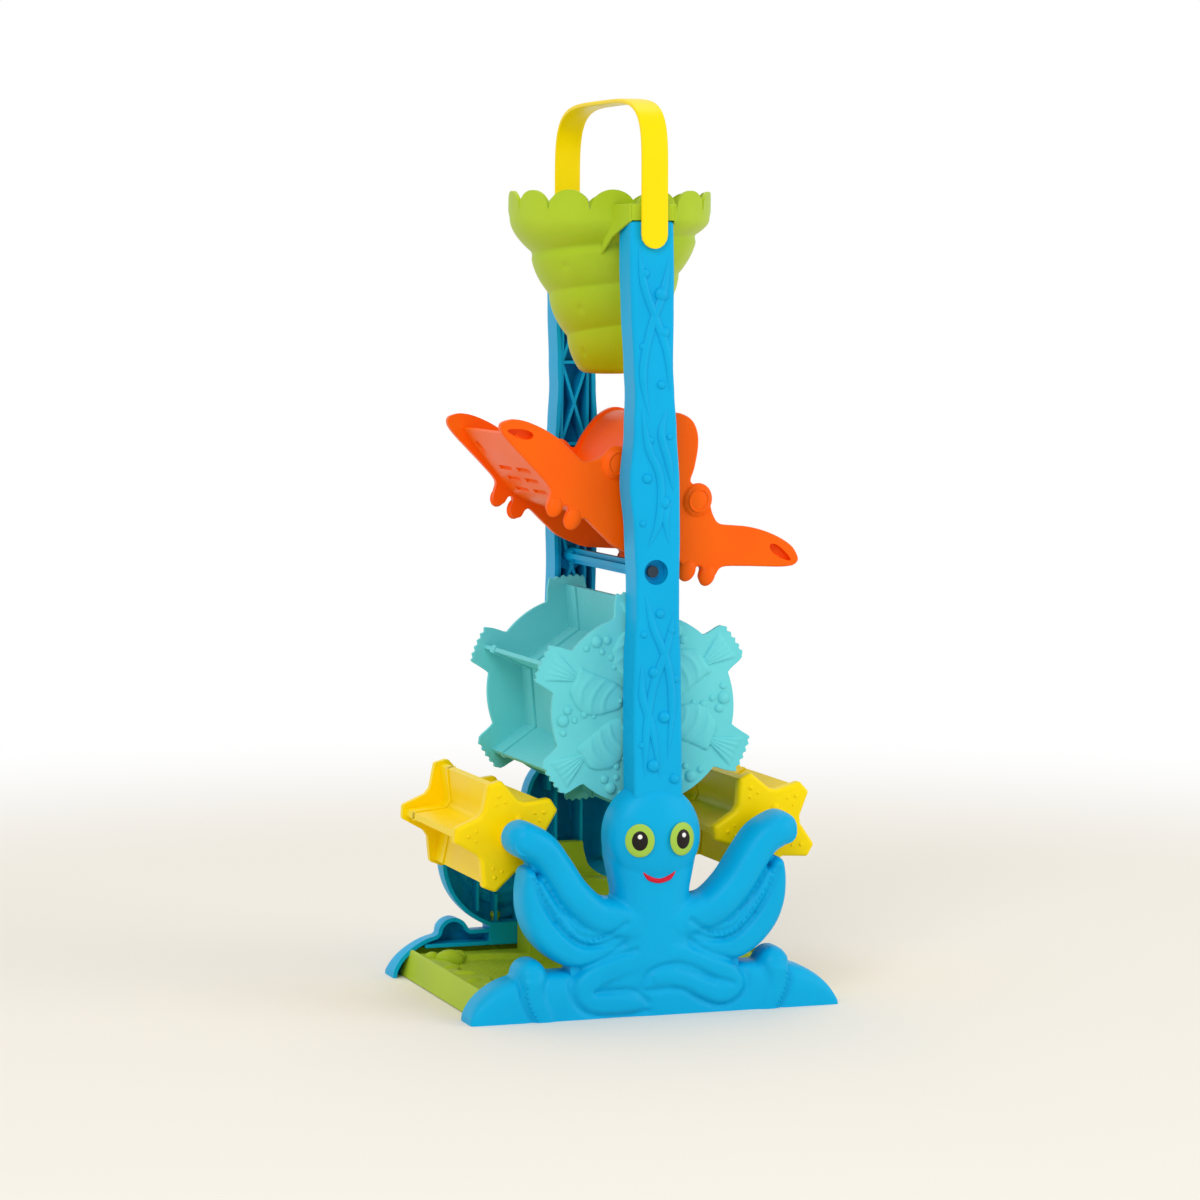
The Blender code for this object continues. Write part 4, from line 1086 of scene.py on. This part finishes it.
starShape = {
    "x": 80.2, "z": 103.5, "halfY": 58.0, "radius": 33.0, "notch": 22.1, "notchHalf": 6.0, "points": 5,
    "tipHalf": 4.6, "tipCorner": (0.8, 1.2), "plate": 7.0, "rounding": 2.9, "core": 12.5, "coreHalf": 10.0,
    "vane": 2.0, "fillet": (5.0, 2.2), "reach": 31.0, "seamY": 32.0, "seam": 0.15, "vaneEdge": 0.6,
    "lapEdge": 0.5, "collar": 5.0, "step": 0.9, "hub": 6.8, "hubEnd": 70.5, "bumpFlat": 0.7,
    "turns": {"left": 33.0, "right": 42.5},
    "bumps": [(25.0, 0.0, 1.2), (20.5, -8.0, 0.9), (20.5, 8.0, 0.9)],
    "domes": [(11.5, 62.0, 2.6), (12.0, 34.0, 1.9)],
}


# five arms, each through its (radius, beside) corners, with a hollow of two points between them
def armOutline(turned, corners, hollow, hollowHalf):
    points = starShape["points"]
    outline = []
    for degrees in evenTurns(turned, points):
        outline += [onCircle(radius, degrees, beside) for radius, beside in corners]
        outline += [onCircle(hollow, degrees + 180.0 / points + shift) for shift in (-hollowHalf, hollowHalf)]
    return outline


def starOutline(turned):
    s = SimpleNamespace(**starShape)
    radius, half = s.radius, s.tipHalf
    drop, corner = s.tipCorner
    tip = [(radius - drop, -half), (radius, corner - half), (radius, half - corner), (radius - drop, half)]
    return armOutline(turned, tip, s.notch, s.notchHalf)


# vanes with rounded scoops between them
def scoopOutline(turned, extra):
    s = SimpleNamespace(**starShape)
    up, out = s.fillet
    half, foot = s.vane + extra, s.core + up
    vane = [(foot, -half - out), (s.reach, -half), (s.reach, half), (foot, half + out)]
    return armOutline(turned, vane, s.core + extra, s.coreHalf)


def makeStarHalf(name, side, x, turned):
    s = SimpleNamespace(**starShape)
    bm = bmesh.new()
    face = side * s.halfY
    addPlate(bm, starOutline(turned), face, face - side * s.plate, s.rounding)
    addVanes(bm, s, side, scoopOutline(turned, 0.0), scoopOutline(turned, s.step))
    for degrees in evenTurns(turned, s.points):
        for radius, shift, size in s.bumps:
            addBump(bm, radius, degrees + shift, size, face, s.bumpFlat, 16)
    for radius, degrees, size in s.domes:
        addBump(bm, radius, degrees, size, face, s.bumpFlat, 20)
    move(bm, bm.verts, (x, 0, s.z))
    return newObject(bm, name)


for place, way in (("left", -1), ("right", 1)):
    x, turned = way * starShape["x"], starShape["turns"][place]
    for side, end in bothEnds:
        piece = makeStarHalf(f"{place}Star{end.title()}Half", side, x, turned)
        finishPiece(piece, yellow, f"{place}_star", (f"{place}_star_{end}_half",), 45.0)
print("stars made")


# tray

trayShape = {
    "halfX": 106.0, "draft": 0.967, "halfY": 83.0, "foot": 0.6, "top": 17.0, "wall": 2.2, "floor": 10.2,
    "floorY": 70.4, "mesh": 4.48, "meshHeight": 0.55, "bank": 3.6, "bankSlope": 5.0,
    "shore": (55.0, [(6.0, 21.0, 0.0), (3.0, 9.0, 1.0)]),
    "end": (80.0, [(5.0, 15.0, 0.0), (2.0, 6.0, 0.0)]),
    "tongueTop": 80.0, "tongueHalf": 6.8, "tongueLow": 33.0, "face": 70.7, "flare": 5.0,
    "flareTop": [(7.1, 80.0), (7.6, 75.0)],
    "flareLine": [(9, 70), (11, 65), (16, 60.5), (24, 56.5), (34, 54)],
    "hillDepth": 25.0,
    "hillLine": [(8, 60), (16, 58.5), (25, 56), (33.7, 53.7)],
    "flareEdge": 0.8, "hillEdge": 1.6, "lap": 0.3, "tongueDepth": 6.0, "pegX": 45.0, "pegY": 81.5,
    "peg": 2.4, "pegLength": 26.0, "pegZ": 22.0, "pegHeadZ": 34.4, "pegHead": (3.3, 3.3, 3.0),
    "rimEdge": 1.0, "lift": 0.7,
    "stones": [(-84, 50, 9, 6.5, 6), (-93, 57, 5, 4, 4), (-76, 58, 5, 4.5, 4), (84, -50, 9, 7, 6),
        (92, -58, 5, 4, 4), (77, -58, 5, 5, 4)],
    "leaves": [(-92, 20, 14, 4, 25), (-90, -2, 16, 4.5, -20), (-93, -28, 14, 4, 30), (-86, -46, 12, 4, -35),
        (92, 28, 14, 4, 205), (90, 4, 16, 4.5, 160), (93, -20, 14, 4, 210), (86, 44, 12, 4, 145)],
}


# tray walls around a floor, hollow from above and from below
def addTrayBox(bm):
    s = SimpleNamespace(**trayShape)
    for v in addBlock(bm, (-s.halfX, -s.halfY, s.foot), (s.halfX, s.halfY, s.top)):
        if v.co.z > s.foot + 1.0:
            v.co.x *= s.draft
    for up, level in ((1, s.floor), (-1, s.floor - s.wall)):
        bm.faces.ensure_lookup_table()
        flat = [f for f in bm.faces if f.normal.z * up > 0.9 and len(f.verts) == 4]
        flat = [max(flat, key=lambda f: up * f.calc_center_median().z)]
        bmesh.ops.inset_region(bm, faces=flat, thickness=s.wall)
        moved = vertsIn(bmesh.ops.extrude_face_region(bm, geom=flat)["geom"])
        bmesh.ops.delete(bm, geom=flat, context="FACES_ONLY")
        for v in moved:
            v.co.z = level
    faceOut(bm)
    x, y, z = s.draft * s.halfX - 0.1, s.halfY - 0.1, s.top - 0.1
    rim = [e for e in bm.edges if max(v.co.z for v in e.verts) > z
           and all(abs(v.co.x) > x or abs(v.co.y) > y for v in e.verts)]
    roundEdges(bm, rim, s.rimEdge, 3)


# line that winds about a middle, as the sum of waves of (height, length, phase)
def winding(at, middle, waves):
    return middle + sum(height * sin(at / length + phase) for height, length, phase in waves)


# woven floor between winding banks
def addTrayFloor(bm):
    s = SimpleNamespace(**trayShape)
    halfX = s.draft * s.halfX - s.wall - 0.1
    grid = addGrid(bm, 160, 110)
    for v in grid:
        x, y = v.co.x * halfX, v.co.y * s.floorY
        away = max(abs(y) - winding(x, *s.shore), abs(x) - winding(y, *s.end))
        bank = smoothStep(away / s.bankSlope)
        weave = s.meshHeight * max(cos(2 * pi * (x + way * y) / s.mesh) for way in (1, -1))
        v.co = (x, y, s.floor + s.lift + s.bank * bank + (1.0 - bank) * weave)
    closeSheet(bm, grid, (0.0, 0.0, -s.bank - 1.2))


def addLeaf(bm, x, y, length, half, degrees):
    s = SimpleNamespace(**trayShape)
    verts = addGrid(bm, 12, 6)
    for v in verts:
        u, w = v.co.x, v.co.y
        width = half * (1.0 - u * u) ** 0.7
        rise = 1.5 * (1.0 - w * w) + 0.5 * (1.0 - abs(w))
        v.co = (length * 0.5 * u, width * w, rise * (1.0 - u * u) ** 0.5 - 0.2)
    turn(bm, verts, radians(degrees), "Z")
    move(bm, verts, (x, y, s.floor + s.bank + s.lift))
    bmesh.ops.remove_doubles(bm, verts=verts, dist=0.01)
    closeSheet(bm, [v for v in verts if v.is_valid], (0.0, 0.0, -0.6))


def makeTray():
    s = SimpleNamespace(**trayShape)
    bm = bmesh.new()
    addTrayBox(bm)
    addTrayFloor(bm)
    for x, y, across, deep, tall in s.stones:
        addDome(bm, (x, y, s.floor + s.bank), (across, deep, tall), 24)
    for leaf in s.leaves:
        addLeaf(bm, *leaf)
    low, face = s.floor - 1.0, s.face
    flare = smoothPath(s.flareLine, 4)
    flare = bothSides(s.flareTop + flare + [(flare[-1][0], low)])
    hill = smoothPath(s.hillLine, 4)
    hill = bothSides(hill + [(hill[-1][0], low)])
    for side in (-1, 1):
        addPlate(bm, flare, side * (face - s.flare), side * face, s.flareEdge, 3)
        addPlate(bm, hill, side * (face - s.hillDepth), side * (face - s.lap), s.hillEdge, 3)
        addBlock(bm, (-s.tongueHalf, side * (face - s.lap), s.tongueLow),
                 (s.tongueHalf, side * (face + s.tongueDepth), s.tongueTop - s.lap), 0.6)
        for x in (-s.pegX, s.pegX):
            y = side * s.pegY
            addPost(bm, s.peg, s.pegLength, (x, y, s.pegZ))
            addDome(bm, (x, y, s.pegHeadZ), s.pegHead, 20)
    return newObject(bm, "baseTray")


finishPiece(makeTray(), lime, "tower", ("base_tray",), 35.0)
print("tray made")


# CAD nodes that stay as they are get the finished materials
keptNodes = {
    "tie_bar": blue, "front_bar_screw": steel, "rear_bar_screw": steel, "crab_axle": orange,
    "wheel_axle": turquoise, "left_star_axle": yellow, "right_star_axle": yellow,
}
for name, material in keptNodes.items():
    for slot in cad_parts[name].material_slots:
        slot.material = material
print("kept nodes dressed")


# stage, light and camera

stage = {
    "floorColour": "#F3EEE4", "floorHalf": 20.0, "clearRadius": 0.55, "whiteRadius": 1.3,
    "worldStrength": 0.64, "aim": (0.0, 0.0, 0.25),
    "lamps": [("keyLamp", (-1.6, -2.2, 2.4), 1.6, 36.0), ("fillLamp", (2.2, -1.8, 1.2), 1.8, 20.0),
        ("topLamp", (0.2, 0.9, 2.6), 1.4, 12.0)],
}
white = (1, 1, 1, 1)


def makeFloor():
    bm = bmesh.new()
    bmesh.ops.create_grid(bm, x_segments=1, y_segments=1, size=stage["floorHalf"])
    floor = linkMesh(bm, "studioFloor")
    # matt, and plain white beyond the shadow
    material, tree, surface, place = newMaterial("palePaintedFloor")
    far = addNode(tree, "VectorMath", links={0: place}, operation="LENGTH")
    fade = addNode(tree, "MapRange",
                   {"From Min": stage["clearRadius"], "From Max": stage["whiteRadius"]},
                   {"Value": far.outputs["Value"]}, interpolation_type="SMOOTHSTEP")
    matt = addNode(tree, "BsdfDiffuse", {"Color": linearColour(stage["floorColour"])})
    glow = addNode(tree, "Emission", {"Color": white, "Strength": 1.0})
    mix = addNode(tree, "MixShader",
                  links={0: fade.outputs["Result"], 1: matt.outputs["BSDF"], 2: glow.outputs["Emission"]})
    tree.links.new(mix.outputs["Shader"], surface)
    floor.data.materials.append(material)


# soft light on the object, plain white where the camera sees the background, a reflection or through
def makeWorld():
    world = bpy.data.worlds.new("softStudio")
    world.use_nodes = True
    tree = world.node_tree
    tree.nodes.clear()
    ray = addNode(tree, "LightPath").outputs
    either = addNode(tree, "Math", links={0: ray["Is Camera Ray"], 1: ray["Is Glossy Ray"]}, operation="ADD")
    seen = addNode(tree, "Math", links={0: either.outputs["Value"], 1: ray["Is Transmission Ray"]},
                   operation="ADD", use_clamp=True)
    soft = addNode(tree, "Background", {"Color": white, "Strength": stage["worldStrength"]})
    plain = addNode(tree, "Background", {"Color": white, "Strength": 1.0})
    mix = addNode(tree, "MixShader",
                  links={0: seen.outputs["Value"], 1: soft.outputs["Background"],
                         2: plain.outputs["Background"]})
    addNode(tree, "OutputWorld", links={"Surface": mix.outputs["Shader"]})
    bpy.context.scene.world = world


def makeLamps():
    for name, place, size, power in stage["lamps"]:
        data = bpy.data.lights.new(name, "AREA")
        data.size = size
        data.energy = power
        lamp = addObject(name, data)
        lamp.location = place
        aim = Vector(stage["aim"]) - Vector(place)
        lamp.rotation_euler = aim.to_track_quat("-Z", "Y").to_euler()


view = {
    "place": (-0.75396, -2.16981, 0.42479), "yaw": 19.04, "pitch": 4.72, "roll": 0.2, "lens": 115.485,
    "sensor": 36.0, "clip": (0.05, 100.0),
}


def makeCamera():
    data = bpy.data.cameras.new("photoCamera")
    data.lens = view["lens"]
    data.sensor_width = view["sensor"]
    data.clip_start, data.clip_end = view["clip"]
    camera = addObject("photoCamera", data)
    place = Matrix.Translation(view["place"])
    for degrees, axis in ((-view["yaw"], "Z"), (90.0 - view["pitch"], "X"), (view["roll"], "Z")):
        place = place @ Matrix.Rotation(radians(degrees), 4, axis)
    camera.matrix_world = place
    bpy.context.scene.camera = camera


makeFloor()
makeWorld()
makeLamps()
makeCamera()
bpy.context.scene.view_settings.view_transform = "Standard"
print("stage ready")
